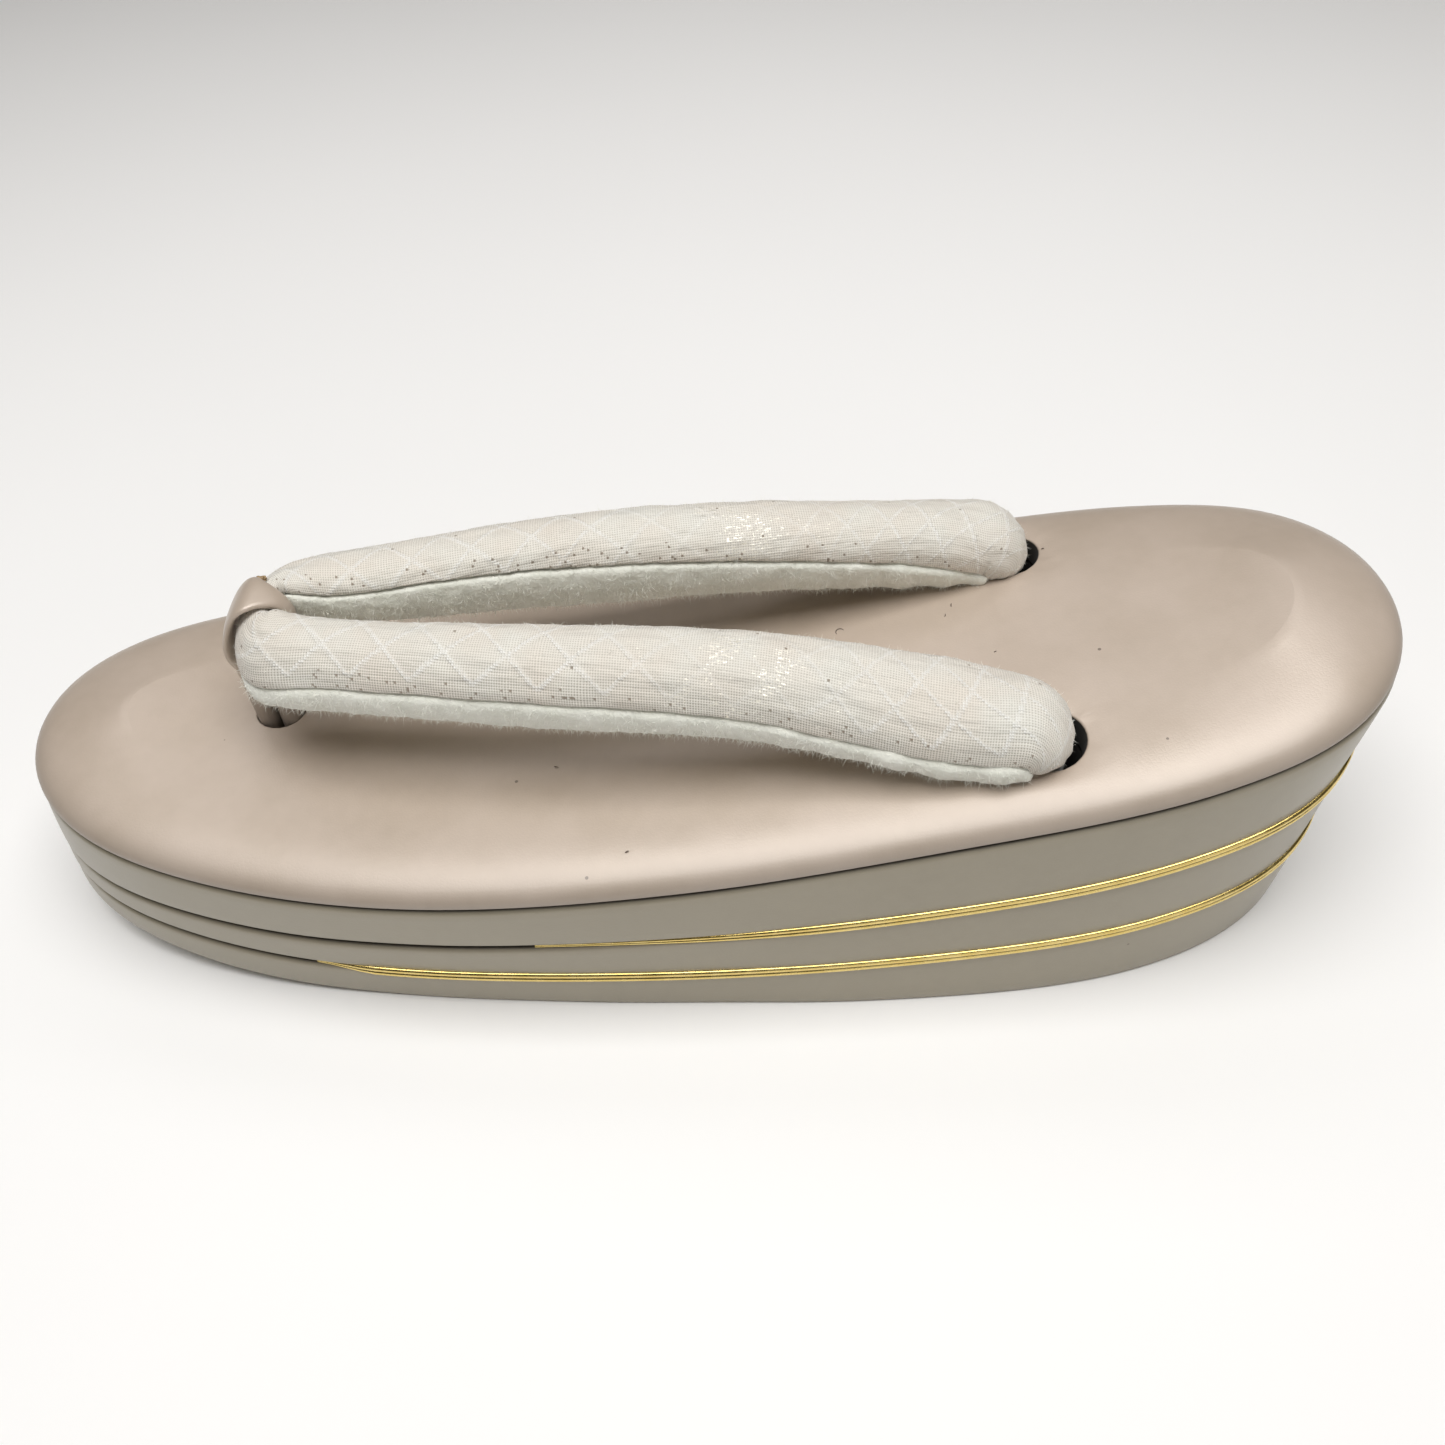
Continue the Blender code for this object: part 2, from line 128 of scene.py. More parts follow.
def wallPoint(turn, share):
    side = math.radians(turn)
    seamX = -lastForm["seamLength"] / 2 * math.cos(side)
    seamY = lastForm["seamHalfWidth"] * math.sin(side) * alongTurn("seam", turn)
    soleX = -lastForm["soleLength"] / 2 * math.cos(side) - lastForm["soleForward"]
    soleY = lastForm["soleHalfWidth"] * math.sin(side) * alongTurn("sole", turn)
    low, high = floorHeight(soleX), seamHeight(seamX)
    return Vector((soleX + (seamX - soleX) * share, soleY + (seamY - soleY) * share,
                   low + (high - low) * share))


def outlineTurns():
    return [360.0 * i / lastForm["around"] - 180.0 for i in range(lastForm["around"])]


def inwardAt(points, i):
    # level direction into the shoe at a point of a ring
    run = points[(i + 1) % len(points)] - points[i - 1]
    size = math.hypot(run.x, run.y)
    return run.y / size, -run.x / size


def outlineRing(shareAt, inset, lift):
    # a ring on the side wall, moved in and up
    points = [wallPoint(turn, shareAt(turn)) for turn in outlineTurns()]
    ring = []
    for i, point in enumerate(points):
        inX, inY = inwardAt(points, i)
        ring.append(Vector((point.x + inX * inset + lastForm["shiftX"],
                            point.y + inY * inset, point.z + lift)))
    return ring


def runningLengths(points):
    lengths = [0.0]
    for a, b in zip(points, points[1:]):
        lengths.append(lengths[-1] + (b - a).length)
    return lengths


# Modelling by hand: start from a circle, extrude it ring by ring, close the ends.
def clearSelection():
    if bpy.context.object and bpy.context.object.mode != "OBJECT":
        bpy.ops.object.mode_set(mode="OBJECT")
    bpy.ops.object.select_all(action="DESELECT")


def selectOnly(piece):
    clearSelection()
    bpy.context.view_layer.objects.active = piece
    piece.select_set(True)


def sortPiece(piece):
    # the extrusion leaves its points and faces in any order, so this gives the same one each run
    shape = bmesh.from_edit_mesh(piece.data)
    slotLayer = shape.verts.layers.int["slot"]
    ringLayer = shape.verts.layers.int["ring"]

    def rank(points):
        ranks = [point[ringLayer] * 1000 + point[slotLayer] for point in points]
        return min(ranks) * 1000000 + max(ranks)

    shape.verts.sort(key=lambda point: rank([point]))
    shape.edges.sort(key=lambda edge: rank(edge.verts))
    shape.faces.sort(key=lambda face: rank(face.verts))
    bmesh.update_edit_mesh(piece.data)


def extrudeRings(name, rings):
    # leaves the piece in edit mode, each vertex knowing its ring and its slot round it
    clearSelection()
    bpy.ops.mesh.primitive_circle_add(vertices=len(rings[0]), radius=0.01)
    piece = bpy.context.object
    piece.name = piece.data.name = name
    bpy.ops.object.mode_set(mode="EDIT")
    shape = bmesh.from_edit_mesh(piece.data)
    shape.verts.layers.int.new("slot")
    shape.verts.layers.int.new("ring")
    slotLayer = shape.verts.layers.int["slot"]
    for i, point in enumerate(shape.verts):
        point[slotLayer] = i
    bmesh.update_edit_mesh(piece.data)
    bpy.ops.mesh.select_all(action="SELECT")
    for number, ring in enumerate(rings):
        if number:
            bpy.ops.mesh.extrude_region_move()
        shape = bmesh.from_edit_mesh(piece.data)
        slotLayer = shape.verts.layers.int["slot"]
        ringLayer = shape.verts.layers.int["ring"]
        for point in shape.verts:
            if point.select:
                point.co = ring[point[slotLayer]]
                point[ringLayer] = number
        bmesh.update_edit_mesh(piece.data, loop_triangles=False)
    sortPiece(piece)
    return piece


def rolledEdge(steps, wide, high):
    # a quarter turn, as ways inwards and up
    turns = [math.pi / 2 * i / steps for i in range(steps + 1)]
    return [(wide * (1 - math.sin(turn)), high * (1 - math.cos(turn))) for turn in turns]


def closingRings(ring, steps):
    # carries a ring straight across to the shoe's centre line, where its two sides meet
    return [[Vector((point.x, point.y * (1 - i / steps), point.z)) for point in ring]
            for i in range(1, steps + 1)]


def selectEdges(piece, wanted):
    # picks edges by a test on the edge, and says how many
    bpy.ops.mesh.select_mode(type="EDGE")
    bpy.ops.mesh.select_all(action="DESELECT")
    shape = bmesh.from_edit_mesh(piece.data)
    chosen = [edge for edge in shape.edges if wanted(edge)]
    for edge in chosen:
        edge.select = True
    shape.select_flush_mode()
    bmesh.update_edit_mesh(piece.data)
    return len(chosen)


mergeWithin = 0.000002


def mergeDoubles():
    bpy.ops.mesh.select_mode(type="VERT")
    bpy.ops.mesh.select_all(action="SELECT")
    bpy.ops.mesh.remove_doubles(threshold=mergeWithin)


def closePiece(piece, angle):
    # fills what is open, turns faces out and shades smooth
    mergeDoubles()
    bpy.ops.mesh.fill_holes(sides=0)
    bpy.ops.mesh.select_all(action="SELECT")
    bpy.ops.mesh.normals_make_consistent(inside=False)
    bpy.ops.object.mode_set(mode="OBJECT")
    bpy.ops.object.shade_smooth_by_angle(angle=math.radians(angle))


def markPaintedShade(piece, paintedShadeAt):
    # painted shade: how far each point lies down a seam or a well, from 0 to 1, which the leather
    # finish darkens by
    mark = piece.data.attributes.new("paintedShade", "FLOAT", "POINT")
    ringNumbers = piece.data.attributes.get("ring")
    for i, point in enumerate(piece.data.vertices):
        number = ringNumbers.data[i].value if ringNumbers else 0
        mark.data[i].value = paintedShadeAt(number, point.co)


def inWell(place, room):
    return any(math.hypot(place.x - lastForm["shiftX"] - x, place.y - y) < radius + room
               for x, y, radius in holePlaces())


def applyModifiers(piece):
    selectOnly(piece)
    for change in list(piece.modifiers):
        bpy.ops.object.modifier_apply(modifier=change.name)


def smoothOnce(piece):
    soft = piece.modifiers.new("soft", "SUBSURF")
    soft.levels = 1
    soft.render_levels = 1
    applyModifiers(piece)


def placeNew(name, data):
    made = bpy.data.objects.new(name, data)
    bpy.context.scene.collection.objects.link(made)
    return made


def finishPiece(piece, node, finish):
    piece.data.materials.clear()
    piece.data.materials.append(finish)
    if node:
        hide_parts(node)
    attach(piece, "root")


# Shader effects that several finishes share
def feed(tree, socket, value):
    # links another node's output, or sets a number or a colour
    if hasattr(value, "node"):
        tree.links.new(value, socket)
    elif value is not None:
        socket.default_value = (*value, 1.0) if socket.type == "RGBA" else value


def newNode(tree, kind, values, **options):
    node = tree.nodes.new("ShaderNode" + kind)
    for option, choice in options.items():
        setattr(node, option, choice)
    for label, value in values.items():
        feed(tree, node.inputs[label], value)
    return node


def newGroup(name, inputs, outputs):
    # gives the group, what comes into it and what it puts out
    group = bpy.data.node_groups.new(name, "ShaderNodeTree")
    for label in inputs:
        kind = "NodeSocketVector" if label in ("Vector", "Cloth") else "NodeSocketFloat"
        group.interface.new_socket(name=label, in_out="INPUT", socket_type=kind)
    for label in outputs:
        group.interface.new_socket(name=label, in_out="OUTPUT", socket_type="NodeSocketFloat")
    given = group.nodes.new("NodeGroupInput")
    made = group.nodes.new("NodeGroupOutput")
    return group, given.outputs, made.inputs


def mathNode(tree, operation, *values, clamp=False):
    node = newNode(tree, "Math", dict(enumerate(values)), operation=operation, use_clamp=clamp)
    return node.outputs[0]


def times(tree, a, b):
    return mathNode(tree, "MULTIPLY", a, b)


def minus(tree, a, b):
    return mathNode(tree, "SUBTRACT", a, b)


def rangeNode(tree, value, low, high, start=0.0, end=1.0):
    return newNode(tree, "MapRange", dict(enumerate((value, low, high, start, end)))).outputs["Result"]


def mixColour(tree, share, a, b):
    return newNode(tree, "Mix", {0: share, 6: a, 7: b}, data_type="RGBA").outputs[2]


def noiseNode(tree, vector, scale, detail=2.0, rough=0.5):
    return newNode(tree, "TexNoise", {"Vector": vector, "Scale": scale, "Detail": detail,
                                      "Roughness": rough}).outputs["Fac"]


effectForm = {
    "pebbleEdge": (0.0, 0.22),
    "pebbles": 0.6,                 # shares of the pebbles and of the fine grain in the height
    "fine": 0.7,
    "fineNoise": (4.0, 0.6),        # detail and roughness
    "mottleNoise": (3.0, 0.55),
    "mottleEdge": (0.30, 0.70),
    "speckFrom": 0.93,              # specks in one cell of fourteen
    "warp": 0.6,
    "weft": 0.4,
}


def makeLeatherGrain():
    # fine pebbling, as a height
    group, given, made = newGroup("leatherGrain", ("Vector", "Scale"), ("Height",))
    cells = newNode(group, "TexVoronoi", {"Vector": given["Vector"], "Scale": given["Scale"]},
                    feature="DISTANCE_TO_EDGE")
    pebble = rangeNode(group, cells.outputs["Distance"], *effectForm["pebbleEdge"])
    fine = noiseNode(group, given["Vector"], given["Scale"], *effectForm["fineNoise"])
    height = mathNode(group, "ADD", times(group, pebble, effectForm["pebbles"]),
                      times(group, fine, effectForm["fine"]))
    feed(group, made["Height"], height)
    return group


def makeMottle():
    # broad soft unevenness of tone
    group, given, made = newGroup("mottle", ("Vector", "Scale"), ("Tone",))
    broad = noiseNode(group, given["Vector"], given["Scale"], *effectForm["mottleNoise"])
    feed(group, made["Tone"], rangeNode(group, broad, *effectForm["mottleEdge"]))
    return group


def makeSpecks():
    # few tiny specks of dust or dirt
    group, given, made = newGroup("specks", ("Vector", "Scale", "Size"), ("Mask",))
    cells = newNode(group, "TexVoronoi", {"Vector": given["Vector"], "Scale": given["Scale"]})
    tint = newNode(group, "SeparateColor", {"Color": cells.outputs["Color"]})
    rare = mathNode(group, "GREATER_THAN", tint.outputs["Red"], effectForm["speckFrom"])
    near = mathNode(group, "LESS_THAN", cells.outputs["Distance"], given["Size"])
    feed(group, made["Mask"], times(group, rare, near))
    return group


def makeWeave():
    # plain weave from the piece's own cloth map, in metres: threads, gaps between them, and a
    # random value for each crossing
    group, given, made = newGroup("clothWeave", ("Cloth", "Pitch"), ("Height", "Gaps", "Crossing"))
    split = newNode(group, "SeparateXYZ", {0: given["Cloth"]}).outputs
    waves = []
    cells = []
    for label in "XY":
        turns = mathNode(group, "DIVIDE", split[label], given["Pitch"])
        wave = mathNode(group, "SINE", times(group, turns, math.tau))
        waves.append(mathNode(group, "MULTIPLY_ADD", wave, 0.5, 0.5))
        cells.append(mathNode(group, "FLOOR", turns))
    feed(group, made["Height"], mathNode(group, "ADD", times(group, waves[0], effectForm["warp"]),
                                         times(group, waves[1], effectForm["weft"])))
    feed(group, made["Gaps"], times(group, minus(group, 1.0, waves[0]), minus(group, 1.0, waves[1])))
    crossing = newNode(group, "CombineXYZ", {"X": cells[0], "Y": cells[1]}).outputs[0]
    chance = newNode(group, "TexWhiteNoise", {"Vector": crossing}, noise_dimensions="2D")
    feed(group, made["Crossing"], chance.outputs["Value"])
    return group


effects = {
    "grain": makeLeatherGrain(),
    "mottle": makeMottle(),
    "specks": makeSpecks(),
    "weave": makeWeave(),
}


def newFinish(name):
    # gives the material, its nodes, its shader and the place on the object
    finish = bpy.data.materials.new(name)
    finish.use_nodes = True
    tree = finish.node_tree
    place = tree.nodes.new("ShaderNodeTexCoord")
    return finish, tree, tree.nodes["Principled BSDF"], place.outputs["Object"]


def useEffect(tree, effect, vector, **values):
    return newNode(tree, "Group", {0: vector, **values}, node_tree=effects[effect]).outputs


def setShader(tree, shader, values):
    for label, value in values.items():
        feed(tree, shader.inputs[label], value)


def addBumps(tree, shader, *layers):
    # the broadest first, each with its height, strength and distance
    normal = None
    for height, strength, distance in layers:
        normal = newNode(tree, "Bump", {"Height": height, "Strength": strength, "Distance": distance,
                                        "Normal": normal}).outputs["Normal"]
    feed(tree, shader.inputs["Normal"], normal)


# Leather finishes
leatherLooks = {
    "pearl": {"light": (0.545, 0.455, 0.380), "dark": (0.485, 0.400, 0.322), "rough": (0.34, 0.42),
              "metal": 0.10, "coat": 0.35, "coatRough": 0.26, "sheen": 0.05, "grainScale": 1500.0,
              "bump": 0.10},
    # painted shade: the side is the same pearl leather as the top, made darker for the side walls
    "side": {"light": (0.318, 0.280, 0.207), "dark": (0.288, 0.252, 0.182), "rough": (0.36, 0.46),
             "metal": 0.10, "coat": 0.25, "coatRough": 0.26, "sheen": 0.03, "grainScale": 1400.0,
             "bump": 0.12},
    "toneScale": 55.0,
    "fineScale": 420.0,
    "fineShare": 0.16,
    "paler": 1.14,
    "specks": {"Scale": 150.0, "Size": 0.045},
    "dust": (0.12, 0.09, 0.07),
    "dustShare": 0.75,
    # painted shade inside seams, grooves and wells: its colour, extra roughness, and where the coat
    # ends
    "paintedShade": (0.010, 0.007, 0.004),
    "paintedShadeRough": 0.5,
    "paintedShadeMatt": 0.8,              # painted shade: the coat is gone at this depth of a crease
    "specular": 0.8,
    "sheenRough": 0.4,
    "broad": (30.0, 0.35, 0.0006),  # scale, strength and height of the broad unevenness
    "grainHeight": 0.00012,
}


def makeLeather(name, look):
    shared = leatherLooks
    finish, tree, shader, where = newFinish(name)
    tone = useEffect(tree, "mottle", where, Scale=shared["toneScale"])["Tone"]
    fineTone = useEffect(tree, "mottle", where, Scale=shared["fineScale"])["Tone"]
    grain = useEffect(tree, "grain", where, Scale=look["grainScale"])["Height"]
    specks = useEffect(tree, "specks", where, **shared["specks"])["Mask"]
    colour = mixColour(tree, tone, look["dark"], look["light"])
    pale = mixColour(tree, times(tree, fineTone, shared["fineShare"]), colour,
                     tuple(min(channel * shared["paler"], 1.0) for channel in look["light"]))
    dusty = mixColour(tree, times(tree, specks, shared["dustShare"]), pale, shared["dust"])
    # painted shade: darker, rougher and without coat or metal inside seams, grooves and wells
    depth = newNode(tree, "Attribute", {}, attribute_name="paintedShade").outputs["Fac"]
    smooth = rangeNode(tree, tone, 0.0, 1.0, *look["rough"])
    setShader(tree, shader, {
        "Base Color": mixColour(tree, depth, dusty, shared["paintedShade"]),
        "Roughness": mathNode(tree, "ADD", smooth, times(tree, depth, shared["paintedShadeRough"])),
        "Metallic": rangeNode(tree, depth, 0.0, 1.0, look["metal"], 0.0),
        "Coat Weight": rangeNode(tree, depth, 0.0, shared["paintedShadeMatt"], look["coat"], 0.0),
        "Coat Roughness": look["coatRough"],
        "Specular IOR Level": shared["specular"],
        "Sheen Weight": look["sheen"],
        "Sheen Roughness": shared["sheenRough"],
    })
    scale, strength, height = shared["broad"]
    addBumps(tree, shader, (noiseNode(tree, where, scale), strength, height),
             (grain, look["bump"], shared["grainHeight"]))
    return finish


pearlLeather = makeLeather("pearlLeather", leatherLooks["pearl"])
shadedSideLeather = makeLeather("shadedSideLeather", leatherLooks["side"])
print("leather finishes ready")


# Sole layers
layerForm = {
    "roll": 0.0013,
    "floorRoll": 0.0006,
    "groove": 0.0015,
    "rollSteps": 5,
    "faceSteps": 6,
    "capSteps": 6,
    "paintedShades": (1.0, 1.0, 0.9, 0.12),       # painted shade, from the seam outwards over the upper roll
    "bulge": 0.00022,               # the leather stands out a little between the rolls
    "wander": 0.00012,              # hand-wrapped unevenness
    "wanderScale": 45.0,
    "smooth": 50,                   # edges sharper than this stay sharp, in degrees
    "floorPlain": 3,                # rings next to the floor that stay even
}


def layerRings(lowShare, highShare, onFloor, gapAbove):
    gap = lastForm["gap"]
    start = 0.0 if onFloor else gap / 2
    deepLow = layerForm["floorRoll"] if onFloor else layerForm["groove"]
    rollLow = layerForm["floorRoll"] if onFloor else layerForm["roll"]
    steps = layerForm["rollSteps"]
    rings = [outlineRing(lowShare, inset, start + lift)
             for inset, lift in rolledEdge(steps, deepLow, rollLow)]
    lowEdge = outlineRing(lowShare, 0.0, start + rollLow)
    highEdge = outlineRing(highShare, 0.0, -gapAbove - layerForm["roll"])
    for i in range(1, layerForm["faceSteps"]):
        share = i / layerForm["faceSteps"]
        rings.append([a.lerp(b, share) for a, b in zip(lowEdge, highEdge)])
    for inset, lift in rolledEdge(steps, layerForm["groove"], layerForm["roll"])[::-1]:
        rings.append(outlineRing(highShare, inset, -gapAbove - lift))
    return rings


def makeLayer(name, node, lowShare, highShare, onFloor=False, gapAbove=lastForm["gap"] / 2,
              holes=False):
    rings = layerRings(lowShare, highShare, onFloor, gapAbove)
    count = len(rings)
    for number, ring in enumerate(rings):
        # the face swells between the rolls and wanders a little
        swell = layerForm["bulge"] * math.sin(math.pi * number / (count - 1)) ** 2
        before = [point.copy() for point in ring]
        if number in (0, count - 1) or (onFloor and number < layerForm["floorPlain"]):
            continue
        for i, point in enumerate(ring):
            inX, inY = inwardAt(before, i)
            uneven = noise.noise(point * layerForm["wanderScale"]) * layerForm["wander"]
            point.x -= inX * (swell + uneven)
            point.y -= inY * (swell + uneven)
    below = closingRings(rings[0], layerForm["capSteps"])
    above = closingRings(rings[-1], layerForm["capSteps"])
    piece = extrudeRings(name, below[::-1] + rings + above)
    closePiece(piece, layerForm["smooth"])
    if holes:
        cutHoles(piece)
    first = layerForm["capSteps"]
    last = first + count - 1

    # painted shade on the hidden caps, in the wells and at the seam above the upper roll; none on the
    # cap on the floor
    def paintedShadeAt(number, place):
        if number <= first or number >= last or (holes and inWell(place, holeForm["room"])):
            return 0.0 if onFloor and number <= first else 1.0
        down = last - number
        return layerForm["paintedShades"][down] if down < len(layerForm["paintedShades"]) else 0.0

    markPaintedShade(piece, paintedShadeAt)
    finishPiece(piece, node, shadedSideLeather)
    return piece


def cutHoles(piece):
    # the wells that the strap's ends and the toe post go down into
    for x, y, radius in holePlaces():
        low = seamHeight(x) - holeForm["depth"]
        high = padTop(x) + holeForm["above"]
        clearSelection()
        bpy.ops.mesh.primitive_cylinder_add(
            vertices=holeForm["sides"], radius=radius, depth=high - low,
            location=(x + lastForm["shiftX"], y, (low + high) / 2))
        cutter = bpy.context.object
        cut = piece.modifiers.new("well", "BOOLEAN")
        cut.operation = "DIFFERENCE"
        cut.object = cutter
        applyModifiers(piece)
        bpy.data.objects.remove(cutter, do_unlink=True)


# each layer's lower and upper edge, as a share of the wall's height
def atFloor(turn):
    return 0.0


def atSeam(turn):
    return 1.0


def upperGroove(turn):
    return alongTurn("upperGroove", turn)


def lowerGroove(turn):
    return alongTurn("lowerGroove", turn)


makeLayer("soleLayerUpper", "sole_layer_upper", upperGroove, atSeam, gapAbove=lastForm["gap"],
          holes=True)
makeLayer("soleLayerMiddle", "sole_layer_middle", lowerGroove, upperGroove)
makeLayer("soleLayerLower", "sole_layer_lower", atFloor, lowerGroove, onFloor=True)
print("sole layers ready")


# Padded top
padForm = {
    "lip": 0.0006,
    "lipSteps": 3,
    "tuck": 0.0015,                 # how far the pad's lower edge turns in
    "round": 0.0180,                # width of the rounded edge, which runs out softly into the dome
    "roundPower": 2.4,
    "roundSteps": 16,
    "crown": 0.0009,                # soft dome of the foam, rising over this distance from the edge
    "crownReach": (0.004, 0.030),
    "steps": 24,                    # from the rounded edge to the centre line
    "rimRoll": 0.0004,              # leather turns down into the holes over this much
    "rimSteps": 5,
    "rimRoom": 0.0024,              # old faces are taken out this far round a hole
    "rimNear": 0.0060,              # the opening's edges lie within this of where faces were taken
    "rimShort": 0.0004,             # the rim's wall ends this far above the pad's lower face
    "rimMatch": 0.00005,            # an edge within this of the rim's circle belongs to it
    "rimTop": 0.0005,               # and to its top if it lies this far over the pad's middle
    "dimple": 0.0003,               # the leather sinks towards each strap hole
    "dimpleReach": 0.0024,
    "riseAtPost": 0.00045,          # and is drawn up round the toe post
    "riseReach": 0.0012,
    # painted shade: from where to where the leather darkens, and lightens, in the wells and at the
    # lower edge
    "strapHoleDark": (0.00005, 0.0003),
    "postHoleDark": (0.0006, 0.0016),
    "seamDark": (0.00006, 0.00030),
    "edgeDark": (0.0008, 0.0048),
    "edgeShade": 0.30,
    "smooth": 60,
}

seamLine = np.array([point.to_2d()[:] for point in outlineRing(atSeam, 0.0, 0.0)])


def edgeShare(lean):
    # rise of the rounded edge, from 0 at the seam (lean 1) to 1 where it ends (lean 0)
    return math.sqrt(max(1 - lean ** padForm["roundPower"], 0.0))


def padSurface(x, y):
    # height of the finished pad, from its rounded edge up to its soft dome
    inset = float(np.hypot(seamLine[:, 0] - x - lastForm["shiftX"], seamLine[:, 1] - y).min())
    lean = max(1 - inset / padForm["round"], 0.0)
    height = padTop(x) - (lastForm["padRise"] - padForm["lip"]) * (1 - edgeShare(lean))
    height += padForm["crown"] * softStep(*padForm["crownReach"], inset)
    for holeX, holeY, radius in holePlaces():
        away = math.hypot(x - holeX, y - holeY) - radius
        if holeX < 0:
            height += padForm["riseAtPost"] * math.exp(-max(away, 0.0) / padForm["riseReach"])
        else:
            height -= padForm["dimple"] * math.exp(-max(away, 0.0) / padForm["dimpleReach"])
    return height


def openWell(piece, holeX, holeY, radius):
    # takes faces out above and below, joins a round rim to the top, and leads it down
    x, y = holeX + lastForm["shiftX"], holeY
    middle = padTop(holeX) - lastForm["padRise"] / 2
    reach = radius + padForm["rimRoom"]

    def away(place):
        return math.hypot(place.x - x, place.y - y)

    bpy.ops.mesh.select_mode(type="FACE")
    bpy.ops.mesh.select_all(action="DESELECT")
    shape = bmesh.from_edit_mesh(piece.data)
    for face in shape.faces:
        face.select = away(face.calc_center_median()) < reach
    bmesh.update_edit_mesh(piece.data)
    bpy.ops.mesh.delete(type="FACE")

    def onRim(edge, above):
        near = all(away(point.co) < reach + padForm["rimNear"] for point in edge.verts)
        return edge.is_boundary and near and (edge.verts[0].co.z > middle) == above

    count = selectEdges(piece, lambda edge: onRim(edge, True))
    shape = bmesh.from_edit_mesh(piece.data)
    turns = sorted(math.atan2(point.co.y - y, point.co.x - x) for point in shape.verts if point.select)
    profile = [(radius + wide, deep) for wide, deep in
               rolledEdge(padForm["rimSteps"], padForm["rimRoll"], padForm["rimRoll"])]
    profile.append((radius, lastForm["padRise"] - padForm["dimple"] - padForm["rimShort"]))
    bpy.ops.mesh.select_all(action="DESELECT")
    bpy.ops.mesh.primitive_circle_add(vertices=count, radius=profile[0][0], location=(x, y, 0.0))
    for number, (wide, deep) in enumerate(profile):
        if number:
            bpy.ops.mesh.extrude_region_move()
        shape = bmesh.from_edit_mesh(piece.data)
        # each point of the rim faces a point of the opening, so the leather joins it without skew
        rim = sorted((math.atan2(point.co.y - y, point.co.x - x), point.index, point)
                     for point in shape.verts if point.select)
        for turn, (_, _, point) in zip(turns, rim):
            point.co.x, point.co.y = x + wide * math.cos(turn), y + wide * math.sin(turn)
            point.co.z = padSurface(point.co.x - lastForm["shiftX"], point.co.y) - deep
        bmesh.update_edit_mesh(piece.data)

    def onCircle(edge, wide, top):
        # an open edge of the new rim, at its top or at its foot
        return edge.is_boundary and all(
            abs(away(point.co) - wide) < padForm["rimMatch"]
            and (point.co.z > middle + padForm["rimTop"]) == top for point in edge.verts)

    selectEdges(piece, lambda edge: onRim(edge, True) and (
        onCircle(edge, profile[0][0], True) or not onCircle(edge, radius, False)))
    bpy.ops.mesh.bridge_edge_loops()
    selectEdges(piece, lambda edge: onRim(edge, False))
    bpy.ops.mesh.bridge_edge_loops()


def makePad():
    rings = [outlineRing(atSeam, padForm["tuck"], 0.0)]
    for inset, lift in rolledEdge(padForm["lipSteps"], padForm["lip"], padForm["lip"])[1:]:
        rings.append(outlineRing(atSeam, inset, lift))
    for i in range(1, padForm["roundSteps"] + 1):
        phase = math.pi / 2 * i / padForm["roundSteps"]
        inset = padForm["round"] * (1 - math.cos(phase))
        rise = padForm["lip"] + (lastForm["padRise"] - padForm["lip"]) * edgeShare(math.cos(phase))
        rings.append(outlineRing(atSeam, inset, rise + padForm["crown"] * softStep(
            *padForm["crownReach"], inset)))
    below = closingRings(rings[0], padForm["steps"])
    above = closingRings(rings[-1], padForm["steps"])
    edgeCrown = padForm["crown"] * softStep(*padForm["crownReach"], padForm["round"])
    for ring in above:
        for point in ring:
            x = point.x - lastForm["shiftX"]
            point.z += padSurface(x, point.y) - padTop(x) - edgeCrown
    piece = extrudeRings("topPad", below[::-1] + rings + above)
    mergeDoubles()
    for x, y, radius in holePlaces():
        openWell(piece, x, y, radius)
    closePiece(piece, padForm["smooth"])

    # painted shade in the wells, at the seam and over the pad's lower rounded edge
    def paintedShadeAt(number, place):
        x = place.x - lastForm["shiftX"]
        if inWell(place, padForm["rimRoll"]):
            deep = padSurface(x, place.y) - place.z
            return softStep(*padForm["postHoleDark" if x < 0 else "strapHoleDark"], deep)
        low = place.z - seamHeight(x)
        return max(1.0 - softStep(*padForm["seamDark"], low),
                   padForm["edgeShade"] * (1.0 - softStep(*padForm["edgeDark"], low)))

    markPaintedShade(piece, paintedShadeAt)
    return piece


padPiece = makePad()
finishPiece(padPiece, "top_pad", pearlLeather)
print("top pad ready")


# Sweeps along a line: cords, straps and the toe post
def readNumbers(items, field, wide=1, kind=int):
    values = np.zeros(len(items) * wide, kind)
    items.foreach_get(field, values)
    return values if wide == 1 else values.reshape(-1, wide).astype(float)


def mapCloth(piece, along, around, edges=None):
    # the piece's own cloth map, in metres along it and round it, and each point's way to a seam
    mesh = piece.data
    ringNumbers = readNumbers(mesh.attributes["ring"].data, "value")
    slotNumbers = readNumbers(mesh.attributes["slot"].data, "value")
    corners = readNumbers(mesh.loops, "vertex_index")
    places = np.stack([np.array(along)[ringNumbers[corners]],
                       np.array(around)[ringNumbers[corners], slotNumbers[corners]]], axis=1)
    clothMap = mesh.uv_layers.new(name="cloth")
    clothMap.data.foreach_set("uv", places.astype(np.float32).ravel())
    if edges:
        away = np.array(edges)[ringNumbers, slotNumbers]
        seam = mesh.attributes.new("seamAway", "FLOAT", "POINT")
        seam.data.foreach_set("value", away.astype(np.float32))
    for label in ("ring", "slot"):
        mesh.attributes.remove(mesh.attributes[label])


